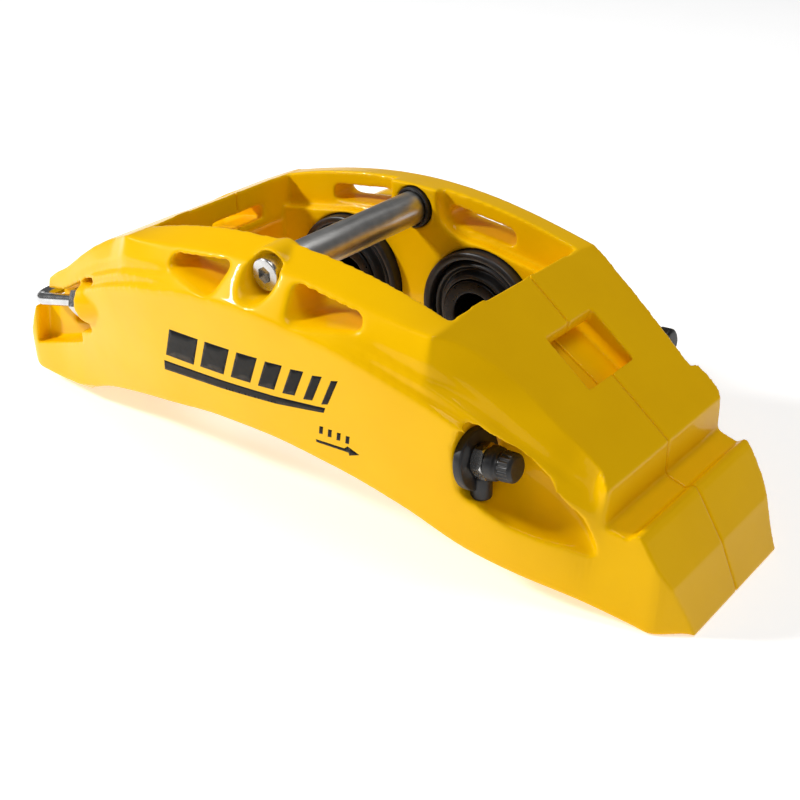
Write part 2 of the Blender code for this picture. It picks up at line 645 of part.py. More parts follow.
# ---- pistons, seals and boots ----
def piston_set(side_name, side, end_name, mirror):
    """One cylinder's pieces; heights run from the split plane along the piston's axis."""
    start = (mirror * PISTON_X, 0, PISTON_Z)
    label = f"{side_name}_{end_name}"
    cup_floor = PISTON_TIP_Y + CUP_DEPTH
    profile = [
        (0, PISTON_BACK_Y), (PISTON_R - 1, PISTON_BACK_Y), (PISTON_R, PISTON_BACK_Y - 1),
        (PISTON_R, PISTON_SHOULDER_Y),
        (NOSE_R, PISTON_SHOULDER_Y), (NOSE_R, PISTON_TIP_Y + 0.6), (NOSE_R - 0.6, PISTON_TIP_Y),
        (CUP_R, PISTON_TIP_Y),
        (CUP_R, cup_floor), (0, cup_floor),
    ]
    piston = place(turned(f"piston_{label}", along(side), start, profile))
    finish_piece(piston, f"piston_{label}", (0.03, 0.03, 0.033), 0.35, 0.6)
    inner, half_width = PISTON_R + FIT_GAP, SEAL_WIDTH / 2
    ring = [
        (SEAL_R, SEAL_Y + half_width), (SEAL_R, SEAL_Y - half_width), (inner, SEAL_Y - half_width),
        (inner, SEAL_Y + half_width),
    ]
    seal = place(turned(f"piston_seal_{label}", along(side), start, ring, ring=True))
    finish_piece(seal, f"piston_seal_{label}", BLACK, 0.6, 0.0)
    bead = HOUSING_Y + BOOT_GROOVE_DEPTH - FIT_GAP
    lip = NOSE_R + FIT_GAP
    boot_profile = [
        (BOOT_R, bead), (BOOT_R, 20.4), (BOOT_R - 1.2, 19.8), (20.0, 20.2), (18.6, 22.4), (16.8, 22.4),
        (15.8, 20.2), (lip, 20.2),
        (lip, 25.4), (18.0, 25.4), (20.8, 23.6), (21.4, bead),
    ]
    boot = place(turned(f"dust_boot_{label}", along(side), start, boot_profile, ring=True))
    finish_piece(boot, f"dust_boot_{label}", BLACK, 0.55, 0.0)


# ---- cross bolt ----
def hex_socket(name, axis, start, depth, across):
    return cylinder(name, axis, start, depth, across / math.sqrt(3), 6)


def cross_bolt():
    low, high = SLEEVE_ENDS_Y
    tube = [(SLEEVE_R, high), (SLEEVE_R, low), (SLEEVE_BORE_R, low), (SLEEVE_BORE_R, high)]
    sleeve = place(turned("bridge_sleeve", "+Y", (0, 0, PIN_Z), tube, ROUND, ring=True))
    finish_piece(sleeve, "bridge_sleeve", STEEL, 0.3, 1.0)
    head_top = BOLT_HEAD_Y - BOLT_HEAD_H
    tip = 34.0
    profile = [
        (0, tip), (BOLT_R - 0.6, tip), (BOLT_R, tip - 0.8), (BOLT_R, BOLT_HEAD_Y),
        (BOLT_HEAD_R, BOLT_HEAD_Y),
        (BOLT_HEAD_R, head_top + 0.6), (BOLT_HEAD_R - 0.6, head_top), (0, head_top),
    ]
    bolt = place(turned("bridge_bolt", "+Y", (0, 0, PIN_Z), profile, SMALL_ROUND))
    boolean(bolt, hex_socket("bridge_bolt_socket", "+Y", (0, head_top - 1, PIN_Z), 4.0, 5.0))
    finish_piece(bolt, "bridge_bolt", STEEL, 0.25, 1.0)
    inboard_ring = ("bridge_ring_inboard", HOUSING_Y - 1.0, HOUSING_Y + 2.6)
    rings = (("bridge_ring_outboard", -40.7, -38.6), inboard_ring)
    for name, near, far in rings:
        inner = SLEEVE_R + FIT_GAP
        section = [(RING_R, far), (RING_R, near), (inner, near), (inner, far)]
        ring = place(turned(name, "+Y", (0, 0, PIN_Z), section, ROUND, ring=True))
        finish_piece(ring, name, BLACK, 0.5, 0.0)


def body_bolt(index, x, z):
    """Socket cap screw that clamps the two halves, its head on the inboard side."""
    seat = BODY_BOLT_SEAT_Y + FIT_GAP
    top = seat + BODY_BOLT_HEAD_H
    profile = [
        (0, top), (BODY_BOLT_HEAD_R - 0.6, top), (BODY_BOLT_HEAD_R, top - 0.6), (BODY_BOLT_HEAD_R, seat),
        (BODY_BOLT_R, seat),
        (BODY_BOLT_R, BODY_BOLT_TIP_Y + 0.8), (BODY_BOLT_R - 0.8, BODY_BOLT_TIP_Y), (0, BODY_BOLT_TIP_Y),
    ]
    name = f"body_bolt_{index + 1}"
    bolt = place(turned(name, "+Y", (x, 0, z), profile, 16))
    boolean(bolt, hex_socket(f"{name}_socket", "+Y", (x, top - 4.5, z), 6.0, 6.0))
    finish_piece(bolt, name, (0.05, 0.05, 0.055), 0.4, 1.0)


# ---- fluid fittings ----
def bleed_fitting(side_name):
    """Bleed screw, its rubber cap and the collar round its foot; heights run from the face it stands on."""
    y, z, ring_r = BLEED_AT[side_name]
    start = (BLEED_FACE_X, y, z)
    screw_profile = [
        (0, 12.6), (1.6, 12.6), (2.3, 11.7), (2.3, 10.4), (1.7, 9.6), (1.7, 8.6), (2.4, 7.6), (3.2, 7.6),
        (3.2, -11.5), (2.2, -12.8), (0, -12.8),
    ]
    screw = place(turned(f"bleed_screw_{side_name}", "bleed", start, screw_profile, SMALL_ROUND))
    hex_from = fitting_point("bleed", start, 3.3)
    hex_r = 5.0 / math.cos(math.pi / 6)
    boolean(screw, cylinder(f"bleed_hex_{side_name}", "bleed", hex_from, 4.2, hex_r, 6), "UNION")
    bore_from = fitting_point("bleed", start, -8)
    boolean(screw, cylinder(f"bleed_bore_{side_name}", "bleed", bore_from, 30, 0.9, 8))
    finish_piece(screw, f"bleed_screw_{side_name}", STEEL, 0.3, 1.0)
    inner = 3.7
    cap_profile = [
        (0, 17), (3.6, 17), (4.6, 16.2), (4.8, 12.4), (4.2, 11.8), (4.2, 11.2), (5.2, 10.6), (5.6, 8.0),
        (inner, 8.0), (inner, 13.2), (0, 13.2),
    ]
    cap = place(turned(f"bleed_cap_{side_name}", "bleed", start, cap_profile, SMALL_ROUND))
    finish_piece(cap, f"bleed_cap_{side_name}", BLACK, 0.5, 0.0)
    ring_profile = [(ring_r, 2.7), (ring_r, FIT_GAP), (inner, FIT_GAP), (inner, 2.7)]
    seat = place(turned(f"bleed_cap_ring_{side_name}", "bleed", start, ring_profile, SMALL_ROUND, ring=True))
    finish_piece(seat, f"bleed_cap_ring_{side_name}", BLACK, 0.5, 0.0)


def rounded_corner(before, corner, after, radius, steps=6):
    """Points of a round bend between two straight stretches at right angles."""
    corner = Vector(corner)
    a = (Vector(before) - corner).normalized()
    b = (Vector(after) - corner).normalized()
    centre = corner + (a + b) * radius
    points = []
    for k in range(steps + 1):
        t = math.pi / 2 * k / steps
        points.append(centre - b * radius * math.cos(t) - a * radius * math.sin(t))
    return points


def crossover_pipe():
    """The pipe that joins the two halves' ports round the left end, and its two nuts."""
    ends, corners = [], []
    for side in (-1, 1):
        face = (PORT_FACE_X, side * PORT_Y, PORT_Z)
        ends.append(fitting_point("port", face, PIPE_FROM))
        corners.append(fitting_point("port", face, PIPE_RUN))
    route = [Vector(ends[0])]
    route += rounded_corner(ends[0], corners[0], corners[1], PIPE_BEND_R)
    route += rounded_corner(corners[0], corners[1], ends[1], PIPE_BEND_R)
    route += [Vector(ends[1])]
    curve = bpy.data.curves.new("crossover_pipe", "CURVE")
    curve.dimensions = "3D"
    curve.bevel_depth = PIPE_R * MM
    curve.bevel_resolution = 2
    curve.use_fill_caps = True
    spline = curve.splines.new("POLY")
    spline.points.add(len(route) - 1)
    for point, place_at in zip(spline.points, route):
        point.co = (*(place_at * MM), 1.0)
    pipe = place(bpy.data.objects.new("crossover_pipe", curve))
    finish_piece(pipe, "crossover_pipe", STEEL, 0.25, 1.0)
    for side_name, side in (("outboard", -1), ("inboard", 1)):
        face = (PORT_FACE_X, side * PORT_Y, PORT_Z)
        thread_from = fitting_point("port", face, -12)
        nut = place(cylinder(f"tube_nut_{side_name}", "port", thread_from, 13, 4.8, SMALL_ROUND))
        head_from = fitting_point("port", face, FIT_GAP)
        head_r = 5.4 / math.cos(math.pi / 6)
        head = cylinder(f"tube_nut_head_{side_name}", "port", head_from, 6.5, head_r, 6, 5.9)
        boolean(nut, head, "UNION")
        bore_from = fitting_point("port", face, -16)
        boolean(nut, cylinder(f"tube_nut_bore_{side_name}", "port", bore_from, 30, PIPE_R + FIT_GAP, 16))
        finish_piece(nut, f"tube_nut_{side_name}", STEEL, 0.25, 1.0)


outboard_half()
inboard_half()
for name_of_side, sign in (("outboard", -1), ("inboard", 1)):
    for name_of_end, end_sign in (("left", -1), ("right", 1)):
        piston_set(name_of_side, sign, name_of_end, end_sign)
    bleed_fitting(name_of_side)
cross_bolt()
for number, (bolt_x, bolt_z) in enumerate(BODY_BOLTS):
    body_bolt(number, bolt_x, bolt_z)
crossover_pipe()
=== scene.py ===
"""Looks for the four-piston fixed brake caliper: glossy painted halves, rubber, steel and a soft studio.

Lengths below are millimetres in the modelling frame: X along the caliper, Y along the wheel's axle
(outboard half on -Y), Z away from the wheel's centre. X = 0 is the cross bolt's plane. settle() turns
them into metres and moves them by SHIFT_X, which puts the middle of the caliper over the origin.
"""

import math

import bmesh
import bpy
import numpy as np
from mathutils import Matrix, Vector


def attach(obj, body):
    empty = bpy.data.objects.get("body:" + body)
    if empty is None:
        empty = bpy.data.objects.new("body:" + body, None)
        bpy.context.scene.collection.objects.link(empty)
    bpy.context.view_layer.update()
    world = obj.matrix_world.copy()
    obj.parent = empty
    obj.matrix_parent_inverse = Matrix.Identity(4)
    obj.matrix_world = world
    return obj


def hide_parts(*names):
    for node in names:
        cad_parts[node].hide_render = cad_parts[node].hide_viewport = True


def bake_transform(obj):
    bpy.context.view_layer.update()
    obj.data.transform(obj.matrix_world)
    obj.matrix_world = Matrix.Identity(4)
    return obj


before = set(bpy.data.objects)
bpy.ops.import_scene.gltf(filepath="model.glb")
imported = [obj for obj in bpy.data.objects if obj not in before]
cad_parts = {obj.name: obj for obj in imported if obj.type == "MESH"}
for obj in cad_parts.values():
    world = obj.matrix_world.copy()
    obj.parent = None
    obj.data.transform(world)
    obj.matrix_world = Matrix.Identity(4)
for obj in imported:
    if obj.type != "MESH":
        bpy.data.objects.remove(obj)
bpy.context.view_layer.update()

MM = 0.001
SHIFT_X = 4.0  # half the difference between the two ends' distances from the cross bolt
SPLIT_GAP = 0.03  # half the line left between the two halves
FIT_GAP = 0.3  # play round a piece in its seat

# The sizes of part.py; a few visible details are drawn a little off it, to look as in the photo.
WINDOW_X, RIDGE_X = 65.0, 66.0
CREST_Z, RIDGE_Z = 95.2, 85.3
RIGHT_NOTCH_X, LEFT_NOTCH_X = 117.7, -131.0
NOTCH_TOP_Z = 44.6
HOUSING_Y = 23.5
DISC_ARCH_R, DISC_ARCH_Z, DISC_SLOT_Y = 148.4, -64.4, 22.8
OUTBOARD_WALL_Y, INBOARD_WALL_Y = 40.0, 27.5
PISTON_X, PISTON_Z = 30.0, 54.0
BORE_R, PISTON_R, BORE_END_Y, DOME_END_Y = 20.6, 20.3, 53.5, 61.94
NOSE_R, CUP_R, CUP_DEPTH = 13.5, 9.0, 22.0
PISTON_TIP_Y, PISTON_SHOULDER_Y, PISTON_BACK_Y = 19.2, 28.0, 51.0
BOOT_R, BOOT_GROOVE_R, BOOT_GROOVE_DEPTH = 23.5, 23.8, 4.5
SEAL_Y, SEAL_GROOVE_R = 34.0, 23.6
PIN_Z = 87.2
SLEEVE_R, SLEEVE_BORE_R, SLEEVE_ENDS_Y = 6.0, 3.5, (-42.2, 28.2)
BOLT_R, BOLT_HEAD_R, BOLT_HEAD_H, BOLT_HEAD_Y = 3.0, 5.4, 5.0, -46.2
COUNTERBORE_R, RING_R = 6.9, 7.3
PIN_BOSS_ROOT_Y, PIN_BOSS_LENGTH, PIN_BOSS_ROOT_R, PIN_BOSS_END_R = -38.3, 10.6, 8.6, 8.2
BODY_BOLTS = ((-132.0, 13.0), (-99.0, 61.0), (110.0, 42.0), (131.5, 14.0))
BODY_BOLT_R, BODY_BOLT_HEAD_R, BODY_BOLT_HEAD_H = 3.0, 4.9, 6.0
BODY_BOLT_SEAT_Y, BODY_BOLT_TIP_Y = 26.5, -22.0
BLEED_FACE_X, BLEED_TILT = 76.0, 7.0
BLEED_AT = {"outboard": (-45.0, 45.5, 8.6), "inboard": (46.5, 50.0, 7.0)}  # y, z and the seat's radius
BLEED_HOLE_R, PORT_HOLE_R, FITTING_HOLE_DEPTH = 3.6, 5.1, 14.0
PORT_Y, PORT_Z, PORT_FACE_X, PORT_TILT = 46.0, 49.3, -100.0, 13.0
PIPE_R, PIPE_FROM, PIPE_RUN, PIPE_BEND_R = 2.4, 3.0, 38.4, 8.0
PASSAGE_HALF_WIDTH = 12.9
LUG_X, LUG_Y, LUG_END_Y, LUG_HOLE_R, LUG_Z = 87.5, 48.0, 58.0, 5.3, (10.0, 31.0)

VOXEL = 0.55  # size of the grid that turns the halves' sharp cuts into one even skin
EDGE_PASSES, CREST_PASSES, SOFT_PASSES = 5, 14, 34  # smoothing of the seam, the crest and the cast edges
STATION_STEP = 1.6
FINE, SMALL = 112, 56  # sides of a piston-sized and of a bolt-sized circle


# ---- meshes ----
def mesh_object(name, build):
    bm = bmesh.new()
    build(bm)
    bmesh.ops.recalc_face_normals(bm, faces=bm.faces)
    mesh = bpy.data.meshes.new(name)
    bm.to_mesh(mesh)
    bm.free()
    obj = bpy.data.objects.new(name, mesh)
    bpy.context.scene.collection.objects.link(obj)
    return obj


def evaluated_mesh(obj):
    bpy.context.view_layer.update()
    graph = bpy.context.evaluated_depsgraph_get()
    evaluated = obj.evaluated_get(graph)
    return bpy.data.meshes.new_from_object(evaluated, preserve_all_data_layers=True, depsgraph=graph)


def bake_modifiers(obj):
    mesh = evaluated_mesh(obj)
    obj.modifiers.clear()
    obj.data = mesh
    return obj


def shrink_to_metres(obj):
    """Applies the object's place and turns millimetres into the row frame's metres."""
    world = obj.matrix_world.copy()
    place = Matrix.Scale(MM, 4) @ Matrix.Translation((SHIFT_X, 0, 0))
    obj.data.transform(place @ world)
    obj.matrix_world = Matrix.Identity(4)


def settle(obj, name, material, body=None, stands_for=(), sharp=32.0):
    """Finishes a piece: modifiers and place applied, shaded smooth, material on, riding on its body."""
    if obj.type != "MESH":
        mesh = evaluated_mesh(obj)
        solid = bpy.data.objects.new(name, mesh)
        bpy.context.scene.collection.objects.link(solid)
        solid.matrix_world = obj.matrix_world
        bpy.data.objects.remove(obj, do_unlink=True)
        obj = solid
    if obj.modifiers:
        bake_modifiers(obj)
    bpy.context.view_layer.update()
    shrink_to_metres(obj)
    obj.name = name
    obj.data.name = name
    obj.data.materials.clear()
    obj.data.materials.append(material)
    obj.data.shade_smooth()
    if sharp:
        obj.data.set_sharp_from_angle(angle=math.radians(sharp))
    if stands_for:
        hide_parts(*stands_for)
    if body:
        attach(obj, body)
    return obj


def loft(name, sections):
    def build(bm):
        rings = [[bm.verts.new(p) for p in section] for section in sections]
        count = len(rings[0])
        for a, b in zip(rings, rings[1:]):
            for i in range(count):
                j = (i + 1) % count
                bm.faces.new((a[i], a[j], b[j], b[i]))
        bm.faces.new(rings[0])
        bm.faces.new(reversed(rings[-1]))
        bmesh.ops.triangulate(bm, faces=bm.faces)

    return mesh_object(name, build)


def plate(name, outline, y_from, y_to):
    """A flat outline of (x, z) points, extruded along Y."""

    def build(bm):
        near = [bm.verts.new((x, y_from, z)) for x, z in outline]
        far = [bm.verts.new((x, y_to, z)) for x, z in outline]
        count = len(outline)
        for i in range(count):
            j = (i + 1) % count
            bm.faces.new((near[i], near[j], far[j], far[i]))
        bm.faces.new(near)
        bm.faces.new(reversed(far))
        bmesh.ops.triangulate(bm, faces=bm.faces)

    return mesh_object(name, build)


AXIS_TURN = {
    "+Y": (-math.pi / 2, 0.0, 0.0),
    "-Y": (math.pi / 2, 0.0, 0.0),
    "+Z": (0.0, 0.0, 0.0),
    "bleed": (0.0, math.pi / 2 - math.radians(BLEED_TILT), 0.0),
    "port": (0.0, -math.pi / 2 - math.radians(PORT_TILT), 0.0),
}


def point_along(obj, axis, start):
    obj.rotation_euler = AXIS_TURN[axis]
    obj.location = start
    return obj


def cylinder(name, axis, start, length, radius, sides=SMALL, tip_radius=None):
    def build(bm):
        far = radius if tip_radius is None else tip_radius
        bmesh.ops.create_cone(bm, cap_ends=True, segments=sides, radius1=radius, radius2=far, depth=length)
        bmesh.ops.translate(bm, vec=(0, 0, length / 2), verts=bm.verts)

    return point_along(mesh_object(name, build), axis, start)


def turned(name, axis, start, profile, sides=FINE, ring=False):
    """A turned solid: (radius, height) points down the outer side, top first, heights along axis."""

    def build(bm):
        columns = []
        for k in range(sides):
            turn = 2 * math.pi * k / sides
            columns.append([bm.verts.new((r * math.cos(turn), r * math.sin(turn), h)) for r, h in profile])
        last = len(profile) if ring else len(profile) - 1
        for a, b in zip(columns, columns[1:] + columns[:1]):
            for i in range(last):
                j = (i + 1) % len(profile)
                bm.faces.new((a[i], a[j], b[j], b[i]))
        bmesh.ops.remove_doubles(bm, verts=bm.verts, dist=1e-5)

    return point_along(mesh_object(name, build), axis, start)


def box(name, low, high):
    def build(bm):
        bmesh.ops.create_cube(bm, size=1.0)
        bmesh.ops.scale(bm, vec=[b - a for a, b in zip(low, high)], verts=bm.verts)
        bmesh.ops.translate(bm, vec=[(a + b) / 2 for a, b in zip(low, high)], verts=bm.verts)

    return mesh_object(name, build)


def combine(target, others, operation="DIFFERENCE"):
    """One Boolean with all the helpers, which are then removed."""
    group = bpy.data.collections.new("helpers")
    bpy.context.scene.collection.children.link(group)
    for other in others:
        for old in list(other.users_collection):
            old.objects.unlink(other)
        group.objects.link(other)
    modifier = target.modifiers.new("combine", "BOOLEAN")
    modifier.operand_type = "COLLECTION"
    modifier.collection = group
    modifier.operation = operation
    modifier.solver = "EXACT"
    bake_modifiers(target)
    for other in others:
        bpy.data.objects.remove(other, do_unlink=True)
    bpy.data.collections.remove(group)
    return target


def rounded(outline, radius, steps=5, closed=True):
    """The outline with its corners rounded, each by the radius or by its own where radius is a list."""
    result = []
    count = len(outline)
    for i, corner in enumerate(outline):
        own = radius[i] if isinstance(radius, (list, tuple)) else radius
        if own == 0 or (not closed and i in (0, count - 1)):
            result.append(tuple(corner))
            continue
        here = Vector(corner)
        before, after = Vector(outline[i - 1]) - here, Vector(outline[(i + 1) % count]) - here
        start = here + before.normalized() * min(own, before.length * 0.45)
        end = here + after.normalized() * min(own, after.length * 0.45)
        for k in range(steps + 1):
            t = k / steps
            result.append(tuple(start * (1 - t) ** 2 + here * 2 * t * (1 - t) + end * t**2))
    return result


def smooth_path(keys, x):
    """Value at x of a smooth curve through the (x, value) keys, flat beyond its ends."""
    if x <= keys[0][0]:
        return keys[0][1]
    if x >= keys[-1][0]:
        return keys[-1][1]
    i = max(k for k in range(len(keys) - 1) if keys[k][0] <= x)

    def slope(k):
        if k == 0 or k == len(keys) - 1:
            return 0.0
        left = (keys[k][1] - keys[k - 1][1]) / (keys[k][0] - keys[k - 1][0])
        right = (keys[k + 1][1] - keys[k][1]) / (keys[k + 1][0] - keys[k][0])
        if left * right <= 0:
            return 0.0
        return 2 * left * right / (left + right)

    (x0, y0), (x1, y1) = keys[i], keys[i + 1]
    width = x1 - x0
    t = (x - x0) / width
    return (
        (2 * t**3 - 3 * t**2 + 1) * y0
        + (t**3 - 2 * t**2 + t) * width * slope(i)
        + (3 * t**2 - 2 * t**3) * y1
        + (t**3 - t**2) * width * slope(i + 1)
    )


def fine_steps(low, high, step, keep=()):
    """Even steps from low to high, with the places in keep among them and no other closer than step / 3."""
    count = round((high - low) / step)
    steps = [low + (high - low) * k / count for k in range(count + 1)]
    steps = [x for x in steps if all(abs(x - k) > step / 3 for k in keep)]
    return sorted(steps + list(keep))


# ---- the body's outline, seen along Y ----
RIGHT_SLOPE = (RIDGE_Z - NOTCH_TOP_Z) / (RIGHT_NOTCH_X - RIDGE_X)
LEFT_SHOULDER = (
    (-131, 46), (-129, 50.5), (-124, 54), (-115, 58.8), (-104, 66.6), (-95, 72.3), (-86, 77.0), (-73, 82.6),
    (-66, RIDGE_Z),
)
ARCH = (
    (-153, 9), (-152.4, 5), (-150.5, 1.6), (-147, 0), (-131, 0), (-122, 1.6), (-112, 7.2), (-96, 14.2),
    (-74, 19.8), (-50, 24.4), (-25, 28.2), (0, 29.5), (26, 27.2), (53, 21.6), (76, 12.9), (93, 9.1),
    (111, 6.1), (128, 1.6), (134.2, 0), (145, 0),
)


def top_z(x):
    """Height of the crest, of the right slope or of the left shoulder."""
    if abs(x) <= RIDGE_X:
        return CREST_Z - (CREST_Z - RIDGE_Z) * (x / RIDGE_X) ** 2
    if x > 0:
        return RIDGE_Z - RIGHT_SLOPE * (x - RIDGE_X)
    return smooth_path(LEFT_SHOULDER, x)


def arch_z(x):
    return smooth_path(ARCH, x)


def side_outline():
    """The body seen along Y. Above the window it is left open, because the skins shape the crest."""
    right = [
        (145, 0.0), (145, 0.6), (138.5, 15.9), (129.6, 30.4), (128.2, 32.0), (126.6, 32.2), (124.8, 30.4),
        (118.6, 32.2), (RIGHT_NOTCH_X, 33.4), (RIGHT_NOTCH_X, NOTCH_TOP_Z), (RIDGE_X, RIDGE_Z),
    ]
    over = [(64.5, 87), (60, 130), (-60, 130), (-64.5, 87)]
    left = list(reversed(LEFT_SHOULDER))
    left += [(LEFT_NOTCH_X, 38.0), (-132, 36.8), (-141, 36), (-143.5, 34.5)]
    left += [(-146.5, 28.5), (-150.6, 20), (-153, 12)]
    return right + over + left + [(x, arch_z(x)) for x in fine_steps(-153.0, 134.2, 2.0)]


# ---- rails of the two skins: (x, value) keys ----
OUT_FOOT_Y = (
    (-153, -38.5), (-151, -41), (-147, -42.4), (-125, -43.6), (-112, -44.6), (-98, -46.4), (-75, -49.4),
    (-50, -52), (0, -54), (50, -51.5), (76, -47.9), (93, -44.9), (111, -41), (128, -36.6), (134.2, -35),
    (145, -27.8),
)
OUT_BROW_Y = (
    (-153, -38.5), (-151, -41), (-147, -42.4), (-129, -43.8), (-115, -47), (-101, -50.6), (-89, -53.4),
    (-75, -56.1), (-50, -59.4), (0, -62), (41, -60.2), (66, -57.3), (80, -54.8), (90, -51.6), (100, -46.8),
    (108, -42.4), (117.7, -36.2), (129, -33.8), (134.2, -32.8), (145, -27.8),
)
OUT_BROW_Z = (
    (-150, 30), (-129, 40), (-115, 47), (-101, 54.4), (-89, 60), (-75, 65.6), (-50, 72.8), (0, 79),
    (41, 74.2), (66, 66.4), (80, 60.4), (90, 55), (100, 48.3), (108, 41.5), (117.7, 35), (145, 34.5),
)
OUT_EDGE_Y = (
    (-153, -38.5), (-151, -41), (-147, -42.4), (-129, -43.4), (-115, -44.6), (-95, -45.2), (-81, -46.4),
    (-73, -48.6), (-66, -50.9), (66, -50.9), (69, -47.2), (73.5, -42.3), (81, -38), (90, -35.3), (100, -33.9),
    (107, -32.2), (112.5, -31.8), (117.7, -35.9), (129, -33.6), (134.2, -32.4), (145, -27.8),
)
IN_FOOT_Y = (
    (-153, 30), (-149, 34.5), (-125, 36), (-103, 35), (-88, 36), (-74, 38), (-60, 43.5), (0, 45), (60, 43.5),
    (74, 38), (85, 36), (103, 34.5), (118, 35), (129, 35), (134.2, 34.4), (145, 27.8),
)
IN_BROW_Z = (
    (-150, 30), (-129, 40), (-100, 52), (-80, 60), (-60, 66), (0, 70), (60, 66), (80, 60), (100, 50),
    (117.7, 36), (145, 34),
)
IN_EDGE_Y = (
    (-153, 30), (-149, 34.5), (-125, 36), (-85, 36), (-65, 36.6), (0, 38.6), (65, 36.6), (85, 35.7),
    (93, 34.8), (103, 33.5), (106, 33), (108, 36.4), (112, 37), (115.5, 36.4), (118.2, 34.3), (129, 33.8),
    (134.2, 33), (145, 27.8),
)
UNDERCUT = ((-128, 6.2), (-121, 5.0), (-112, 2.0), (-104, 0.8))  # height of the outboard lower bevel
KEPT_STATIONS = (LEFT_NOTCH_X - 0.5, -RIDGE_X, RIDGE_X, 69.0, RIGHT_NOTCH_X + 0.5)
STATIONS = fine_steps(-156.0, 148.0, STATION_STEP, KEPT_STATIONS)
TOP_MARGIN = 6.0  # how far the skins run past the ends' outline
OUT_CREST_Y, IN_CREST_Y, CREST_RUN = -40.5, 27.5, 10.0  # the crest's wall, and the skin's run inside it
OUT_CREST_DROP, IN_CREST_DROP = 4.2, 0.8  # how far the flange's edge lies below the crest in the middle
FLUTE_DEPTH = 2.1


def skin_top(x):
    """Height of the flange's edge. Past the notches the skin runs on above the outline, which cuts it."""
    if x > RIGHT_NOTCH_X or x < LEFT_NOTCH_X:
        return NOTCH_TOP_Z
    return top_z(x)


def over_the_top(x, before, edge, crest_y, side):
    """The flange's top: on the crest it climbs from the edge to crest_y, elsewhere the outline cuts it."""
    if abs(x) > RIDGE_X:
        beyond = Vector(edge) + (Vector(edge) - Vector(before)).normalized() * 2.5
        y, z = beyond
        return [(y, z), (y - side * 4.0, z + TOP_MARGIN), (side * SPLIT_GAP, z + TOP_MARGIN)]
    rise = (top_z(x) - edge[1]) / abs(edge[0] - crest_y)
    inner = abs(crest_y) - CREST_RUN
    return [edge, (side * inner, top_z(x) + rise * CREST_RUN), (side * SPLIT_GAP, top_z(x) + TOP_MARGIN)]


def outboard_section(x):
    low = arch_z(x) - 4.0
    foot_y = smooth_path(OUT_FOOT_Y, x)
    brow = (smooth_path(OUT_BROW_Y, x), smooth_path(OUT_BROW_Z, x))
    edge = (smooth_path(OUT_EDGE_Y, x), skin_top(x) - crest_drop(x, OUT_CREST_DROP))
    foot_z = arch_z(x)
    lean = (brow[0] - foot_y) / max(brow[1] - foot_z, 1.0)
    high = smooth_path(UNDERCUT, x)
    middle = (foot_y + lean * high, foot_z + high)
    points = [(-SPLIT_GAP, low), (foot_y + 1.3 * (high + 4.0), low), middle, brow]
    points += flutes(x, brow, edge)
    points += over_the_top(x, points[-1], edge, OUT_CREST_Y, -1)
    return [(x, y, z) for y, z in points]


def crest_drop(x, most):
    """How far the flange's edge lies below its crest: nothing at the ridges and beyond."""
    if abs(x) > RIDGE_X:
        return 0.0
    return 0.4 + most * (1 - (abs(x) / RIDGE_X) ** 5)


def flutes(x, brow, edge):
    """The two long channels between the face's brow and the flange's edge, which fade out at both ends."""
    depth = FLUTE_DEPTH * min(1.0, max(0.0, (abs(x) - 36) / 14)) * min(1.0, max(0.0, (118 - abs(x)) / 30))
    across = Vector((edge[0] - brow[0], edge[1] - brow[1]))
    inward = Vector((across.y, -across.x)).normalized()
    cuts = ((0.10, 1.0), (0.24, 0.0), (0.38, 0.8), (0.54, 0.0))
    places = [Vector(brow) + across * t + inward * depth * share for t, share in cuts]
    return [(p.x, p.y) for p in places]


def inboard_section(x):
    low = arch_z(x) - 4.0
    foot_y = smooth_path(IN_FOOT_Y, x)
    brow = (foot_y, smooth_path(IN_BROW_Z, x))
    edge = (smooth_path(IN_EDGE_Y, x), skin_top(x) - crest_drop(x, IN_CREST_DROP))
    points = [(SPLIT_GAP, low), (foot_y, low), brow] + over_the_top(x, brow, edge, IN_CREST_Y, 1)
    return [(x, y, z) for y, z in points]


# ---- cuts that both halves share; side is -1 outboard and +1 inboard ----
def along(side):
    return "+Y" if side > 0 else "-Y"


def window_and_disc(tag, side):
    inner = -1.0 * side
    ends = rounded([(-WINDOW_X, 20), (WINDOW_X, 20), (WINDOW_X, 130), (-WINDOW_X, 130)], 0.5, 1)
    window = plate(f"{tag}_window", ends, *sorted((inner, side * HOUSING_Y)))
    start = (0, inner, DISC_ARCH_Z)
    return [window, cylinder(f"{tag}_disc_room", along(side), start, DISC_SLOT_Y + 1.0, DISC_ARCH_R, 320)]


def recess_outline(mirror):
    """Set-back wall beside the pin boss, down to the ledge above the piston."""
    end = WINDOW_X - FIT_GAP
    points = [
        (10.5, 130), (10.5, 89), (12, 84.5), (16, 81.3), (22, 79.8), (31, 79.2), (end, 73.6), (end, 130),
    ]
    return [(x * mirror, z) for x, z in points]


def slots(tag, side):
    corners = [(13.4, 88.7), (41.2, 85.0), (42.2, 80.6), (16.6, 78.2)]
    corner_r = (3.0, 2.6, 2.6, 3.4)
    if side > 0:
        corners = [(12.8, 89.8), (40.9, 86.4), (41.4, 80.0), (13.6, 83.2)]
        corner_r = 3.1
    found = []
    for mirror, name in ((1, "right"), (-1, "left")):
        outline = rounded([(x * mirror, z) for x, z in corners], corner_r)
        found.append(plate(f"{tag}_{name}_slot", outline, *sorted((side * 24.0, side * 70.0))))
    return found


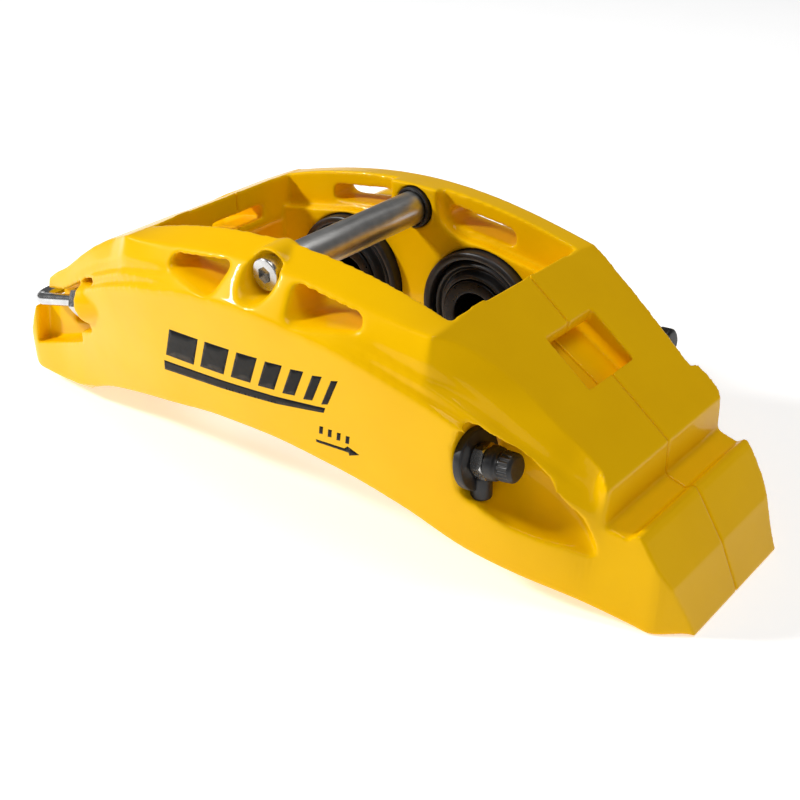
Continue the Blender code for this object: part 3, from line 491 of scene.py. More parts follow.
def piston_bores(tag, side):
    depths = (
        ("bore", BORE_R, HOUSING_Y - 2, BORE_END_Y),
        ("boot_groove", BOOT_GROOVE_R, HOUSING_Y - 2, HOUSING_Y + BOOT_GROOVE_DEPTH),
        ("seal_groove", SEAL_GROOVE_R, SEAL_Y - 2.0, SEAL_Y + 2.0),
    )
    found = []
    for mirror, name in ((1, "right"), (-1, "left")):
        for what, radius, near, far in depths:
            start = (mirror * PISTON_X, side * near, PISTON_Z)
            found.append(cylinder(f"{tag}_{name}_{what}", along(side), start, far - near, radius, FINE))
    return found


def square_passages(tag, side):
    """The square pocket in each bridge, which turns and opens in the window's end wall."""
    across = sorted((side * -1.0, side * PASSAGE_HALF_WIDTH))
    right = [
        (80.3, 76.2), (97.0, 63.3), (95.6, 53.4), (88, 58.4), (80, 63.4), (72, 68.6), (64, 72.3), (64, 78.0),
        (70, 76.2), (74.5, 72.4), (77.2, 69.8), (79.3, 69.8), (80.2, 71.8),
    ]
    left = [
        (-76, 83.5), (-94.5, 75.8), (-91.5, 66.5), (-84, 67.6), (-76, 70.4), (-64, 72.3), (-64, 78.0),
        (-70, 76.6), (-74, 76.4),
    ]
    return [plate(f"{tag}_right_passage", right, *across), plate(f"{tag}_left_passage", left, *across)]


def body_bolt_holes(tag, side):
    found = []
    for index, (x, z) in enumerate(BODY_BOLTS):
        start = (x, -2, z) if side > 0 else (x, BODY_BOLT_TIP_Y - 2, z)
        found.append(cylinder(f"{tag}_bolt_hole_{index}", "+Y", start, 40, BODY_BOLT_R + FIT_GAP))
        if side > 0:
            seat = (x, BODY_BOLT_SEAT_Y, z)
            found.append(cylinder(f"{tag}_bolt_seat_{index}", "+Y", seat, 40, BODY_BOLT_HEAD_R + 0.4))
    return found


def side_ports(tag, side):
    bleed = fitting_point("bleed", (BLEED_FACE_X, *BLEED_AT[tag][:2]), -FITTING_HOLE_DEPTH)
    port = fitting_point("port", (PORT_FACE_X, side * PORT_Y, PORT_Z), -FITTING_HOLE_DEPTH)
    length = FITTING_HOLE_DEPTH + 4
    return [
        cylinder(f"{tag}_bleed_hole", "bleed", bleed, length, BLEED_HOLE_R, SMALL),
        cylinder(f"{tag}_port_hole", "port", port, length, PORT_HOLE_R, SMALL),
    ]


def fitting_point(axis, face, out):
    """The point this far out of a fitting's face, along the fitting's axis."""
    if axis == "bleed":
        tilt = math.radians(BLEED_TILT)
        return (face[0] + out * math.cos(tilt), face[1], face[2] + out * math.sin(tilt))
    tilt = math.radians(PORT_TILT)
    return (face[0] - out * math.cos(tilt), face[1], face[2] - out * math.sin(tilt))


def scoop(name):
    """The long hollow below the outboard bleed screw: ellipses that shrink along the body."""
    rings = (
        (75.8, -46, 46.0, 10.5, 10.5), (78.5, -46.4, 47.8, 14.4, 14.2), (82, -46.2, 47.0, 14.2, 14.5),
        (85, -46, 45.2, 13.5, 14.4), (90, -46, 42.6, 13, 14.2), (95, -45.5, 40.4, 12.5, 13.4),
        (99.5, -44.5, 37.8, 11.5, 11.9), (103.4, -43.7, 35.4, 10, 10.2), (107.6, -42.8, 32.2, 8.5, 7.7),
        (111.6, -41.8, 29.2, 6.5, 6.2), (115, -40.6, 25.2, 4, 3.4), (117.2, -40, 23.5, 2, 1),
    )
    tracks = [[(ring[0], ring[k]) for ring in rings] for k in range(1, 5)]
    sections = []
    for x in fine_steps(rings[0][0], rings[-1][0], 0.6):
        y, z, wide, high = (smooth_path(track, x) for track in tracks)
        turns = [2 * math.pi * k / FINE for k in range(FINE)]
        sections.append([(x, y + wide * math.cos(a), z + high * math.sin(a)) for a in turns])
    return loft(name, sections)


def relax(mesh, weights, passes):
    """Moves each point part of the way to the middle of its neighbours, by its weight."""
    count = len(mesh.vertices)
    points = np.empty(count * 3)
    mesh.vertices.foreach_get("co", points)
    points = points.reshape(-1, 3)
    edges = np.empty(len(mesh.edges) * 2, int)
    mesh.edges.foreach_get("vertices", edges)
    a, b = edges.reshape(-1, 2).T
    neighbours = np.bincount(a, minlength=count) + np.bincount(b, minlength=count)
    share = (0.5 * weights / neighbours)[:, None]
    for _ in range(passes):
        total = np.empty_like(points)
        for axis in range(3):
            total[:, axis] = np.bincount(a, points[b, axis], count) + np.bincount(b, points[a, axis], count)
        points += share * (total - points * neighbours[:, None])
    mesh.vertices.foreach_set("co", points.ravel())
    mesh.update()


def fade(distance, inner, outer):
    """1 up to the inner distance and 0 from the outer one on."""
    return np.clip((outer - distance) / (outer - inner), 0.0, 1.0)


def soft_places(points, side):
    """How round each point's surroundings are cast, from 0 to 1."""
    x, y, z = points.T
    soft = np.zeros(len(points))
    if side < 0:
        outside = fade(y, -46.0, -43.0)
        slot = np.hypot((np.abs(x) - 28.5) / 20.0, (z - 83.5) / 9.0)
        soft = np.maximum(soft, 0.4 * outside * fade(slot, 1.0, 1.25))
        soft = np.maximum(soft, 0.22 * outside * fade(np.hypot(x, z - PIN_Z + 3), 12.0, 15.0))
        ear = np.hypot(np.hypot(x + 103, y + 46), z - 50)
        soft = np.maximum(soft, 0.4 * fade(ear, 9.0, 15.0))
        pocket = fade(np.hypot((x + 122) / 27.0, (z - 31) / 17.0), 0.85, 1.1) * fade(y, -30.0, -27.0)
        soft = np.maximum(soft, 0.3 * pocket)
        flutes_at = fade(np.abs(np.abs(x) - 80), 45.0, 52.0) * fade(np.abs(z - 64), 16.0, 20.0) * outside
        soft = np.maximum(soft, 0.3 * flutes_at)
        hollow = fade(np.hypot((x - 96) / 26.0, (z - 38) / 22.0), 0.8, 1.05) * fade(y, -36.0, -33.0)
        soft = np.maximum(soft, 0.5 * hollow)
    else:
        soft = np.maximum(soft, fade(np.abs(np.abs(x) - PISTON_X), 30.0, 34.0) * fade(-y, -39.0, -36.0))
        boss = fade(np.hypot((np.abs(x) - 14) / 8.0, (z - 86) / 9.0), 0.9, 1.2) * fade(y, 29.0, 31.0)
        soft = np.maximum(soft, 0.4 * boss)
    return soft * fade(-z, -3.0, -1.0) * fade(-np.abs(y), -2.5, -1.0)


def soften_edges(half, side):
    """Turns the sharp cut shape into one even skin with soft edges, like paint over a machined casting."""
    remesh = half.modifiers.new("even_skin", "REMESH")
    remesh.mode = "VOXEL"
    remesh.voxel_size = VOXEL
    bake_modifiers(half)
    mesh = half.data
    points = np.empty(len(mesh.vertices) * 3)
    mesh.vertices.foreach_get("co", points)
    points = points.reshape(-1, 3)
    seam = fade(-np.abs(points[:, 1]), -1.6, -0.7)
    slope = fade(-points[:, 0], -RIDGE_X, -RIDGE_X + 1.0) * fade(-points[:, 2], -46.0, -44.0)
    relax(mesh, seam * fade(-points[:, 2], -1.5, -0.5) * (0.45 - 0.35 * slope), EDGE_PASSES)
    crest = fade(np.abs(points[:, 0]), RIDGE_X, RIDGE_X + 4.0) * fade(-points[:, 2], -68.0, -64.0)
    relax(mesh, 0.6 * crest * fade(-np.abs(points[:, 1]), -3.0, -1.5), CREST_PASSES)
    relax(mesh, soft_places(points, side), SOFT_PASSES)
    return half


def outboard_half():
    half = loft("outboard", [outboard_section(x) for x in STATIONS])
    tag, side = "outboard", -1
    combine(half, [plate("side", side_outline(), -80, 10)], "INTERSECT")
    end = WINDOW_X - FIT_GAP
    wall = [(-end, 73.6), (-31, 79.2), (31, 79.2), (end, 73.6), (end, 130), (-end, 130)]
    rooms = window_and_disc(tag, side) + square_passages(tag, side)
    rooms.append(plate("outboard_wall_recess", wall, -OUTBOARD_WALL_Y, -10))
    pocket = [
        (-98.5, 38), (-108.3, 35), (-108.8, 30.4), (-122, 25.4), (-145.6, 17.5), (-142.3, 33), (-141.5, 38),
        (-134, 41.5), (-133, 45), (-118, 49), (-108, 54.4), (-98, 60), (-90, 63), (-92, 60), (-98.5, 57),
    ]
    rooms.append(plate("outboard_port_pocket", rounded(pocket, 0.8, 2), -80, -36.5))
    hollow = rounded([(-103, 38), (-103, 47), (-122, 44), (-127, 30), (-113, 33)], 3.0)
    rooms.append(plate("outboard_port_hollow", hollow, -45, -31.5))
    combine(half, rooms)
    root = (0, PIN_BOSS_ROOT_Y, PIN_Z)
    boss = cylinder("outboard_pin_boss", "-Y", root, PIN_BOSS_LENGTH, PIN_BOSS_ROOT_R, FINE, PIN_BOSS_END_R)
    bosses = [boss]
    ear = fitting_point("port", (PORT_FACE_X, -PORT_Y, PORT_Z), -26)
    bosses.append(cylinder("outboard_port_ear", "port", ear, 26, 4.0, FINE, 8.6))
    combine(half, bosses, "UNION")
    cuts = slots(tag, side) + piston_bores(tag, side) + body_bolt_holes(tag, side) + side_ports(tag, side)
    sleeve_end = (0, SLEEVE_ENDS_Y[0] - FIT_GAP, PIN_Z)
    cuts.append(cylinder("outboard_sleeve_seat", "+Y", sleeve_end, 6, SLEEVE_R + FIT_GAP, FINE))
    cuts.append(cylinder("outboard_ring_seat", "+Y", (0, -41.0, PIN_Z), 6, RING_R + FIT_GAP, FINE))
    cuts.append(cylinder("outboard_pin_hole", "+Y", (0, -70, PIN_Z), 40, BOLT_R + FIT_GAP))
    counterbore = (0, BOLT_HEAD_Y + FIT_GAP, PIN_Z)
    cuts.append(cylinder("outboard_counterbore", "-Y", counterbore, 30, COUNTERBORE_R, FINE))
    cuts.append(scoop("outboard_scoop"))
    bleed_face = (BLEED_FACE_X, *BLEED_AT[tag][:2])
    cuts.append(cylinder("outboard_bleed_seat", "bleed", bleed_face, 8, BLEED_AT[tag][2] + 0.6, FINE))
    combine(half, cuts)
    return soften_edges(half, side)


def inboard_half():
    half = loft("inboard", [inboard_section(x) for x in STATIONS])
    tag, side = "inboard", 1
    bleed_ear = fitting_point("bleed", (BLEED_FACE_X, *BLEED_AT[tag][:2]), -26)
    port_ear = fitting_point("port", (PORT_FACE_X, PORT_Y, PORT_Z), -50)
    combine(half, [plate("side", side_outline(), -10, 80)], "INTERSECT")
    bosses = [
        box("inboard_inlet_block", (-12, 40, 44), (12, 60, 67)),
        cylinder("inboard_port_ear", "port", port_ear, 50, 9, FINE),
        cylinder("inboard_bleed_ear", "bleed", bleed_ear, 26, 8.6, FINE),
    ]
    lug_corners = [(-9.0, LUG_Z[0]), (-9.0, LUG_Z[1]), (9.0, LUG_Z[1]), (9.0, LUG_Z[0])]
    for mirror, name in ((1, "right"), (-1, "left")):
        profile = [(0, DOME_END_Y), (19.5, DOME_END_Y), (22.5, 60.8), (24.6, 57.5), (24.6, 38.5), (0, 38.5)]
        bosses.append(turned(f"inboard_{name}_dome", "+Y", (mirror * PISTON_X, 0, PISTON_Z), profile))
        lug = rounded([(mirror * (LUG_X + dx), z) for dx, z in lug_corners], 3.0)
        bosses.append(plate(f"inboard_{name}_lug", lug, 30, LUG_END_Y))
    combine(half, bosses, "UNION")
    cuts = window_and_disc(tag, side) + square_passages(tag, side)
    for mirror, name in ((1, "right"), (-1, "left")):
        cuts.append(plate(f"inboard_{name}_recess", recess_outline(mirror), 10, INBOARD_WALL_Y))
        lug_at = (mirror * LUG_X, LUG_Y, 0)
        cuts.append(cylinder(f"inboard_{name}_lug_hole", "+Z", lug_at, 45, LUG_HOLE_R))
    cuts += slots(tag, side) + piston_bores(tag, side) + body_bolt_holes(tag, side) + side_ports(tag, side)
    sleeve_end = (0, SLEEVE_ENDS_Y[1] + FIT_GAP, PIN_Z)
    ring_end = (0, HOUSING_Y + 2.9, PIN_Z)
    cuts.append(cylinder("inboard_sleeve_seat", "-Y", sleeve_end, 12, SLEEVE_R + FIT_GAP, FINE))
    cuts.append(cylinder("inboard_ring_seat", "-Y", ring_end, 12, RING_R + FIT_GAP, FINE))
    cuts.append(cylinder("inboard_pin_thread", "+Y", (0, 20, PIN_Z), 40, BOLT_R + FIT_GAP))
    cuts.append(cylinder("inboard_inlet_hole", "-Y", (0, 66, 55.5), 16, 4.4))
    combine(half, cuts)
    return soften_edges(half, side)


# ---- materials ----
def new_material(name, colour, roughness, metallic=0.0, coat=0.0, coat_roughness=0.05):
    material = bpy.data.materials.new(name)
    material.use_nodes = True
    shader = material.node_tree.nodes["Principled BSDF"]
    shader.inputs["Base Color"].default_value = (*colour, 1.0)
    shader.inputs["Roughness"].default_value = roughness
    shader.inputs["Metallic"].default_value = metallic
    shader.inputs["Coat Weight"].default_value = coat
    shader.inputs["Coat Roughness"].default_value = coat_roughness
    return material


def noise(material, scale, detail=3.0, stretch=(1.0, 1.0, 1.0)):
    """A noise texture over the piece's own place, with features about 1 / scale metres wide."""
    nodes, links = material.node_tree.nodes, material.node_tree.links
    coords = nodes.new("ShaderNodeTexCoord")
    mapping = nodes.new("ShaderNodeMapping")
    mapping.inputs["Scale"].default_value = stretch
    texture = nodes.new("ShaderNodeTexNoise")
    texture.inputs["Scale"].default_value = scale
    texture.inputs["Detail"].default_value = detail
    links.new(coords.outputs["Object"], mapping.inputs["Vector"])
    links.new(mapping.outputs["Vector"], texture.inputs["Vector"])
    return texture.outputs["Fac"]


def spread(material, value, low, high, from_low=0.3, from_high=0.7):
    """Maps a texture's value onto low ... high."""
    ranged = material.node_tree.nodes.new("ShaderNodeMapRange")
    ranged.inputs["From Min"].default_value = from_low
    ranged.inputs["From Max"].default_value = from_high
    ranged.inputs["To Min"].default_value = low
    ranged.inputs["To Max"].default_value = high
    material.node_tree.links.new(value, ranged.inputs["Value"])
    return ranged.outputs["Result"]


def vary_roughness(material, low, high, scale, stretch=(1.0, 1.0, 1.0)):
    value = spread(material, noise(material, scale, 4.0, stretch), low, high)
    shader = material.node_tree.nodes["Principled BSDF"]
    material.node_tree.links.new(value, shader.inputs["Roughness"])


def vary_colour(material, first, second, scale):
    mix = material.node_tree.nodes.new("ShaderNodeMix")
    mix.data_type = "RGBA"
    mix.inputs["A"].default_value = (*first, 1.0)
    mix.inputs["B"].default_value = (*second, 1.0)
    links = material.node_tree.links
    links.new(spread(material, noise(material, scale), 0.0, 1.0), mix.inputs["Factor"])
    links.new(mix.outputs["Result"], material.node_tree.nodes["Principled BSDF"].inputs["Base Color"])


def add_bump(material, scale, depth, strength=0.5, stretch=(1.0, 1.0, 1.0), detail=2.0):
    bump = material.node_tree.nodes.new("ShaderNodeBump")
    bump.inputs["Strength"].default_value = strength
    bump.inputs["Distance"].default_value = depth
    links = material.node_tree.links
    links.new(noise(material, scale, detail, stretch), bump.inputs["Height"])
    links.new(bump.outputs["Normal"], material.node_tree.nodes["Principled BSDF"].inputs["Normal"])


def make_paint():
    paint = new_material("yellow_paint", (0.93, 0.52, 0.001), 0.32, coat=0.36, coat_roughness=0.025)
    shader = paint.node_tree.nodes["Principled BSDF"]
    shader.inputs["Coat IOR"].default_value = 1.33
    shader.inputs["Specular IOR Level"].default_value = 0.1
    shader.inputs["Specular Tint"].default_value = (1.0, 0.72, 0.12, 1.0)
    vary_colour(paint, (0.95, 0.535, 0.0), (0.92, 0.51, 0.0), 60.0)
    vary_roughness(paint, 0.28, 0.38, 90.0)
    add_bump(paint, 520.0, 0.00004, 0.25)
    return paint


def make_steel(name, colour, low, high, stretch):
    steel = new_material(name, colour, low, metallic=1.0)
    vary_colour(steel, colour, tuple(0.82 * c for c in colour), 240.0)
    vary_roughness(steel, low, high, 500.0, stretch)
    add_bump(steel, 1500.0, 0.00002, 0.12, stretch)
    return steel


def make_rubber():
    rubber = new_material("black_rubber", (0.010, 0.010, 0.011), 0.45)
    vary_colour(rubber, (0.009, 0.009, 0.010), (0.016, 0.016, 0.017), 180.0)
    vary_roughness(rubber, 0.32, 0.5, 300.0)
    add_bump(rubber, 1400.0, 0.00003, 0.4)
    return rubber


def make_black_metal(name, colour, low, high):
    metal = new_material(name, colour, low, metallic=0.85)
    vary_colour(metal, colour, tuple(1.6 * c for c in colour), 300.0)
    vary_roughness(metal, low, high, 700.0)
    add_bump(metal, 1800.0, 0.00002, 0.3)
    return metal


PAINT = make_paint()
RUBBER = make_rubber()
SLEEVE_STEEL = make_steel("sleeve_steel", (0.68, 0.67, 0.65), 0.28, 0.42, (1.0, 0.06, 1.0))
BRIGHT_STEEL = make_steel("bright_steel", (0.62, 0.61, 0.59), 0.16, 0.30, (1.0, 1.0, 1.0))
PIPE_STEEL = make_steel("pipe_steel", (0.66, 0.66, 0.66), 0.14, 0.24, (1.0, 1.0, 1.0))
BLACK_STEEL = make_black_metal("black_steel", (0.03, 0.03, 0.032), 0.3, 0.45)
PISTON_METAL = make_black_metal("piston_metal", (0.02, 0.02, 0.022), 0.26, 0.4)
INK = new_material("black_ink", (0.002, 0.002, 0.002), 0.4)
INK.node_tree.nodes["Principled BSDF"].inputs["Specular IOR Level"].default_value = 0.12
vary_roughness(INK, 0.3, 0.45, 400.0)


# ---- turned and fluted pieces ----
def fluted(name, axis, start, profile, count, depth, low, high, sides=FINE * 3):
    """A turned solid whose wall between the heights low and high carries this many small ribs."""
    solid = turned(name, axis, start, profile, sides)
    for vertex in solid.data.vertices:
        x, y, h = vertex.co
        radius = math.hypot(x, y)
        if low < h < high and radius > 1.0:
            wave = 0.5 + 0.5 * math.cos(count * math.atan2(y, x))
            scale = 1 - depth * wave / radius
            vertex.co = (x * scale, y * scale, h)
    return solid


def chamfered_hex(name, axis, start, height, across_flats, slope=0.6):
    """A hexagon prism with both ends' corners turned off."""
    corner_r = across_flats / 2 / math.cos(math.pi / 6)
    prism = cylinder(name, axis, start, height, corner_r, 6)
    barrel_r = corner_r + 0.02
    profile = [(0, height), (across_flats / 2 - 0.1, height), (barrel_r, height - slope), (barrel_r, slope)]
    profile += [(across_flats / 2 - 0.1, 0), (0, 0)]
    return combine(prism, [turned("barrel", axis, start, profile, SMALL)], "INTERSECT")


def piston_set(side_name, side, end_name, mirror):
    start = (mirror * PISTON_X, 0, PISTON_Z)
    axis = along(side)
    label = f"{side_name}_{end_name}"
    floor = PISTON_TIP_Y + CUP_DEPTH
    profile = [
        (0, PISTON_BACK_Y), (PISTON_R, PISTON_BACK_Y), (PISTON_R, PISTON_SHOULDER_Y),
        (NOSE_R, PISTON_SHOULDER_Y), (NOSE_R, PISTON_TIP_Y), (CUP_R, PISTON_TIP_Y), (CUP_R, floor), (0, floor),
    ]
    piston = turned("piston", axis, start, rounded(profile, 0.7, 4, closed=False))
    node = f"piston_{label}"
    settle(piston, f"piston_cup_{label}", PISTON_METAL, node, [node])
    bead = HOUSING_Y + BOOT_GROOVE_DEPTH - FIT_GAP
    rim_profile = [(BOOT_R, bead), (BOOT_R, 20.2), (22.2, 19.8), (20.9, 20.1), (20.5, 21.6), (20.5, bead)]
    rim = turned("rim", axis, start, rounded(rim_profile, 0.5, 3), ring=True)
    settle(rim, f"boot_rim_{label}", RUBBER, "housing", [f"dust_boot_{label}"])
    lip = NOSE_R + FIT_GAP
    folds = [
        (20.1, 26.4), (20.1, 23.4), (19.4, 22.3), (18.6, 21.4), (17.9, 21.6), (17.2, 22.9), (16.5, 23.0),
        (15.9, 21.6), (15.3, 20.3), (14.6, 20.0), (lip, 20.1), (lip, 24.6), (16.4, 25.0), (18.4, 25.6),
    ]
    bellows = turned("bellows", axis, start, rounded(folds, 0.45, 3), ring=True)
    bellows = settle(bellows, f"boot_bellows_{label}", RUBBER, None, [f"dust_boot_{label}"])
    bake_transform(bellows)


def cross_bolt():
    low, high = SLEEVE_ENDS_Y
    tube = [(SLEEVE_R, high), (SLEEVE_R, low), (SLEEVE_BORE_R, low), (SLEEVE_BORE_R, high)]
    sleeve = turned("sleeve", "+Y", (0, 0, PIN_Z), rounded(tube, 0.4, 3), ring=True)
    settle(sleeve, "sleeve_tube", SLEEVE_STEEL, "housing", ["bridge_sleeve"])
    top = BOLT_HEAD_Y - BOLT_HEAD_H
    profile = [(0, 34.0), (BOLT_R, 34.0), (BOLT_R, BOLT_HEAD_Y)]
    profile += [(BOLT_HEAD_R, BOLT_HEAD_Y), (BOLT_HEAD_R, top), (0, top)]
    bolt = turned("bolt", "+Y", (0, 0, PIN_Z), rounded(profile, 0.55, 4, closed=False))
    socket = cylinder("socket", "+Y", (0, top - 1, PIN_Z), 4.0, 5.0 / math.sqrt(3), 6)
    combine(bolt, [socket])
    settle(bolt, "cross_bolt", BRIGHT_STEEL, "housing", ["bridge_bolt"])
    for name, near, far in (("outboard", -40.7, -38.6), ("inboard", HOUSING_Y - 1.0, HOUSING_Y + 2.6)):
        inner = SLEEVE_R + FIT_GAP
        section = [(RING_R, far), (RING_R, near), (inner, near), (inner, far)]
        ring = turned("ring", "+Y", (0, 0, PIN_Z), rounded(section, 0.4, 3), ring=True)
        settle(ring, f"sleeve_ring_{name}", RUBBER, "housing", [f"bridge_ring_{name}"])


def body_bolt(index, x, z):
    seat = BODY_BOLT_SEAT_Y + FIT_GAP
    top = seat + BODY_BOLT_HEAD_H
    corners = [(0, top), (BODY_BOLT_HEAD_R, top), (BODY_BOLT_HEAD_R, seat), (0, seat)]
    head = rounded(corners, 0.5, 4, closed=False)
    shank = head[:-1] + [(BODY_BOLT_R, seat), (BODY_BOLT_R, BODY_BOLT_TIP_Y + 0.8)]
    shank += [(BODY_BOLT_R - 0.8, BODY_BOLT_TIP_Y), (0, BODY_BOLT_TIP_Y)]
    bolt = fluted("bolt", "+Y", (x, 0, z), shank, 36, 0.22, seat + 0.6, top - 0.9)
    combine(bolt, [cylinder("socket", "+Y", (x, top - 4.5, z), 6.0, 6.0 / math.sqrt(3), 6)])
    name = f"body_bolt_{index + 1}"
    settle(bolt, f"clamp_screw_{index + 1}", BLACK_STEEL, "housing", [name])


def bleed_fitting(side_name):
    y, z, ring_r = BLEED_AT[side_name]
    start = (BLEED_FACE_X, y, z)
    inner = 3.7
    profile = [
        (0, 12.6), (1.6, 12.6), (2.3, 11.7), (2.3, 10.4), (1.7, 9.6), (1.7, 8.6), (2.4, 7.6), (3.2, 7.6),
        (3.2, 3.2), (3.2, -11.5), (2.2, -12.8), (0, -12.8),
    ]
    screw = turned("screw", "bleed", start, profile, SMALL)
    combine(screw, [chamfered_hex("hex", "bleed", fitting_point("bleed", start, 3.3), 4.2, 10.0)], "UNION")
    combine(screw, [cylinder("bore", "bleed", fitting_point("bleed", start, -8), 30, 0.9, 24)])
    node = f"bleed_screw_{side_name}"
    settle(screw, f"nipple_{side_name}", BRIGHT_STEEL, node, [node])
    cap_profile = rounded(
        [
            (0, 17), (3.6, 17), (4.6, 16.2), (4.8, 12.4), (4.2, 11.8), (4.2, 11.2), (5.2, 10.6), (5.6, 8.0),
            (inner, 8.0), (inner, 13.2), (0, 13.2),
        ],
        0.35, 3, closed=False,
    )
    cap = fluted("cap", "bleed", start, cap_profile, 18, 0.35, 12.6, 16.0)
    node = f"bleed_cap_{side_name}"
    settle(cap, f"nipple_cap_{side_name}", RUBBER, node, [node])
    if side_name == "outboard":
        ring_r += 1.2  # the ring stands proud of its seat, as in the photo
    ring_profile = [(ring_r, 3.4), (ring_r, FIT_GAP), (inner, FIT_GAP), (inner, 3.0)]
    ring = turned("ring", "bleed", start, rounded(ring_profile, 0.7, 4), ring=True)
    if side_name == "outboard":
        tab_profile = rounded([(0, 8.0), (3.0, 8.0), (3.4, 5.0), (3.4, 0), (0, 0)], 0.9, 4, closed=False)
        tab = turned("tab", "+Z", (BLEED_FACE_X + 3.9, y, z - 12.4), tab_profile, SMALL)
        combine(ring, [tab], "UNION")
    settle(ring, f"cap_ring_{side_name}", RUBBER, "housing", [f"bleed_cap_ring_{side_name}"])


def rounded_corner(before, corner, after, radius, steps=14):
    """Points of a round bend between two straight stretches at right angles."""
    corner = Vector(corner)
    a = (Vector(before) - corner).normalized()
    b = (Vector(after) - corner).normalized()
    centre = corner + (a + b) * radius
    points = []
    for k in range(steps + 1):
        t = math.pi / 2 * k / steps
        points.append(centre - b * radius * math.cos(t) - a * radius * math.sin(t))
    return points


def crossover_pipe():
    ends, corners = [], []
    for side in (-1, 1):
        face = (PORT_FACE_X, side * PORT_Y, PORT_Z)
        ends.append(fitting_point("port", face, PIPE_FROM))
        corners.append(fitting_point("port", face, PIPE_RUN))
    route = [Vector(ends[0])]
    route += rounded_corner(ends[0], corners[0], corners[1], PIPE_BEND_R)
    route += rounded_corner(corners[0], corners[1], ends[1], PIPE_BEND_R)
    route += [Vector(ends[1])]
    curve = bpy.data.curves.new("pipe", "CURVE")
    curve.dimensions = "3D"
    curve.bevel_depth = PIPE_R
    curve.bevel_resolution = 9
    curve.use_fill_caps = True
    spline = curve.splines.new("POLY")
    spline.points.add(len(route) - 1)
    for point, place_at in zip(spline.points, route):
        point.co = (*place_at, 1.0)
    pipe = bpy.data.objects.new("pipe", curve)
    bpy.context.scene.collection.objects.link(pipe)
    settle(pipe, "fluid_pipe", PIPE_STEEL, "housing", ["crossover_pipe"])
    for side_name, side in (("outboard", -1), ("inboard", 1)):
        face = (PORT_FACE_X, side * PORT_Y, PORT_Z)
        nut = cylinder("nut", "port", fitting_point("port", face, -12), 13, 4.8)
        combine(nut, [chamfered_hex("hex", "port", fitting_point("port", face, FIT_GAP), 6.5, 10.8)], "UNION")
        bore = cylinder("bore", "port", fitting_point("port", face, -16), 30, PIPE_R + FIT_GAP, 40)
        combine(nut, [bore])
        node = f"tube_nut_{side_name}"
        settle(nut, f"pipe_nut_{side_name}", BRIGHT_STEEL, "housing", [node])


# ---- graphic on the outboard face ----
def face_point(x, z, lift):
    """The point of the outboard face at this X and Z, lifted off the paint."""
    foot = Vector((smooth_path(OUT_FOOT_Y, x), arch_z(x)))
    brow = Vector((smooth_path(OUT_BROW_Y, x), smooth_path(OUT_BROW_Z, x)))
    up = brow - foot
    normal = Vector((-up.y, up.x)).normalized()
    spot = foot + up * ((z - foot.y) / up.y) + normal * lift
    return (x, spot.x, spot.y)


def printed(name, corners, lift=0.05, step=0.8):
    """A thin printed patch with the outline corners, (x, z) points, laid over the curved face."""

    def build(bm):
        outline = []
        for (x0, z0), (x1, z1) in zip(corners, corners[1:] + corners[:1]):
            count = max(1, round(math.hypot(x1 - x0, z1 - z0) / step))
            outline += [(x0 + (x1 - x0) * k / count, z0 + (z1 - z0) * k / count) for k in range(count)]
        face = bm.faces.new([bm.verts.new((x, 0, z)) for x, z in outline])
        bmesh.ops.triangulate(bm, faces=[face])
        for _ in range(2):
            long_edges = [e for e in bm.edges if e.calc_length() > 1.5]
            bmesh.ops.subdivide_edges(bm, edges=long_edges, cuts=1)
            bmesh.ops.triangulate(bm, faces=bm.faces)
        sheet = list(bm.faces)
        made = bmesh.ops.extrude_face_region(bm, geom=sheet)
        outer = {v for v in made["geom"] if isinstance(v, bmesh.types.BMVert)}
        for vertex in bm.verts:
            height = lift if vertex in outer else -0.15
            vertex.co = face_point(vertex.co.x, vertex.co.z, height)

    return mesh_object(name, build)


def graphic():
    """Speed bars over a tapered stripe, ticks, and the arrow that shows which way the disc turns."""
    bars = []
    x = -48.0
    for width in (15.0, 12.0, 9.5, 7.5, 5.5, 4.0, 2.8):
        low, high = 46.6 + 0.08 * (x + 48), 59.0 + 0.06 * (x + 48)
        bars.append([(x, low), (x + width, low + 0.9), (x + width + 6.2, high + 0.8), (x + 6.2, high)])
        x += width + 3.6
    stripe = [(-50, 43.6), (-20, 46.0), (6, 48.6), (28.5, 51.6)]
    stripe += [(27.4, 49.4), (6, 45.6), (-20, 42.4), (-51.2, 39.4)]
    bars.append(stripe)
    for tick in range(4):
        at = 23.5 + 3.6 * tick
        bars.append([(at, 40.0), (at + 1.5, 40.2), (at + 2.4, 43.4), (at + 0.9, 43.2)])
    arrow = [(21.5, 35.8), (35.0, 36.5), (35.0, 35.3), (39.4, 37.2)]
    arrow += [(35.0, 39.0), (35.0, 37.7), (21.5, 36.9)]
    bars.append(arrow)
    for count, corners in enumerate(bars, 1):
        settle(printed(f"mark{count}", corners), f"print_{count}", INK, "housing", sharp=0)


# ---- the object ----
settle(outboard_half(), "body_outboard", PAINT, "housing", ["outboard_half"], sharp=0)
settle(inboard_half(), "body_inboard", PAINT, "housing", ["inboard_half"], sharp=0)
for side_name, side in (("outboard", -1), ("inboard", 1)):
    for end_name, mirror in (("left", -1), ("right", 1)):
        piston_set(side_name, side, end_name, mirror)
    bleed_fitting(side_name)
cross_bolt()
for index, (x, z) in enumerate(BODY_BOLTS):
    body_bolt(index, x, z)
crossover_pipe()
graphic()
for name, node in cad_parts.items():
    if name.startswith("piston_seal"):
        for slot in node.material_slots:
            slot.material = RUBBER


# ---- studio; its places are in metres ----
MIDDLE = (0, 0, 0.05)


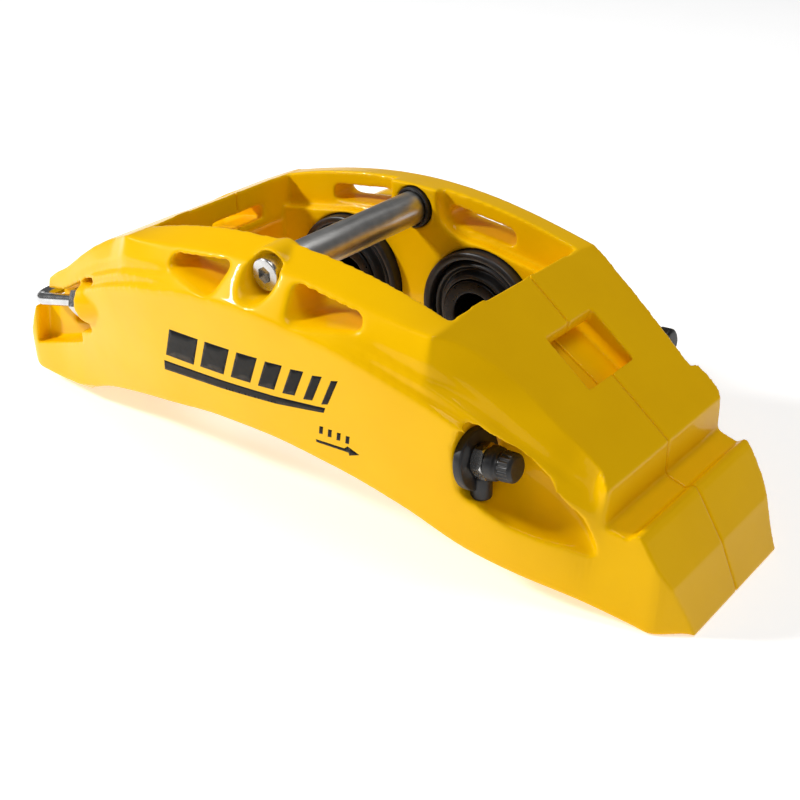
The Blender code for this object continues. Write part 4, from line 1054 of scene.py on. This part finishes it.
def area_light(name, place, size, power):
    """A square light that shines on the middle of the caliper."""
    light = bpy.data.lights.new(name, "AREA")
    light.shape = "SQUARE"
    light.size = size
    light.energy = power
    lamp = bpy.data.objects.new(name, light)
    lamp.location = place
    lamp.rotation_euler = (Vector(MIDDLE) - Vector(place)).to_track_quat("-Z", "Y").to_euler()
    bpy.context.scene.collection.objects.link(lamp)


def studio():
    world = bpy.data.worlds.new("studio")
    world.use_nodes = True
    world.node_tree.nodes["Background"].inputs["Color"].default_value = (1.0, 1.0, 1.0, 1.0)
    world.node_tree.nodes["Background"].inputs["Strength"].default_value = 0.12
    bpy.context.scene.world = world
    area_light("key", (-1.10, -0.76, 0.90), 0.2, 19.5)
    area_light("top", (0.25, 0.2, 1.5), 0.8, 8.5)
    area_light("fill", (1.0, -1.2, 0.9), 0.9, 2.6)
    paper = new_material("pale_paper", (0.9, 0.9, 0.9), 0.6)
    shader = paper.node_tree.nodes["Principled BSDF"]
    shader.inputs["Emission Color"].default_value = (1.0, 1.0, 1.0, 1.0)
    shader.inputs["Emission Strength"].default_value = 0.45
    shader.inputs["Specular IOR Level"].default_value = 0.1
    vary_roughness(paper, 0.55, 0.65, 20.0)

    def build(bm):
        bmesh.ops.create_grid(bm, x_segments=4, y_segments=4, size=8.0)

    floor = mesh_object("floor", build)
    floor.data.materials.append(paper)


def camera():
    """Seen from the right, a little above: angles in degrees and distances in millimetres."""
    azimuth, elevation, roll = (math.radians(a) for a in (39.978, 28.974, -1.575))
    across, down, away = -8.102, 17.258, 472.3
    level_back = Vector((math.sin(azimuth), -math.cos(azimuth), 0)) * math.cos(elevation)
    back = level_back + Vector((0, 0, math.sin(elevation)))
    right = Vector((math.cos(azimuth), math.sin(azimuth), 0))
    up = back.cross(right)
    level = Matrix((right, -up, -back))
    tilt = Matrix.Rotation(roll, 3, "Z")
    turn = (tilt @ level).transposed()
    place = Vector((SHIFT_X, 0, 0)) - turn @ Vector((across, down, away))
    data = bpy.data.cameras.new("camera")
    data.sensor_width = 36.0
    data.lens = 56.81
    data.clip_start = 0.01
    eye = bpy.data.objects.new("camera", data)
    eye.matrix_world = Matrix.Translation(place * MM) @ (turn @ Matrix.Diagonal((1, -1, -1))).to_4x4()
    bpy.context.scene.collection.objects.link(eye)
    bpy.context.scene.camera = eye


studio()
camera()
bpy.context.scene.view_settings.view_transform = "Standard"
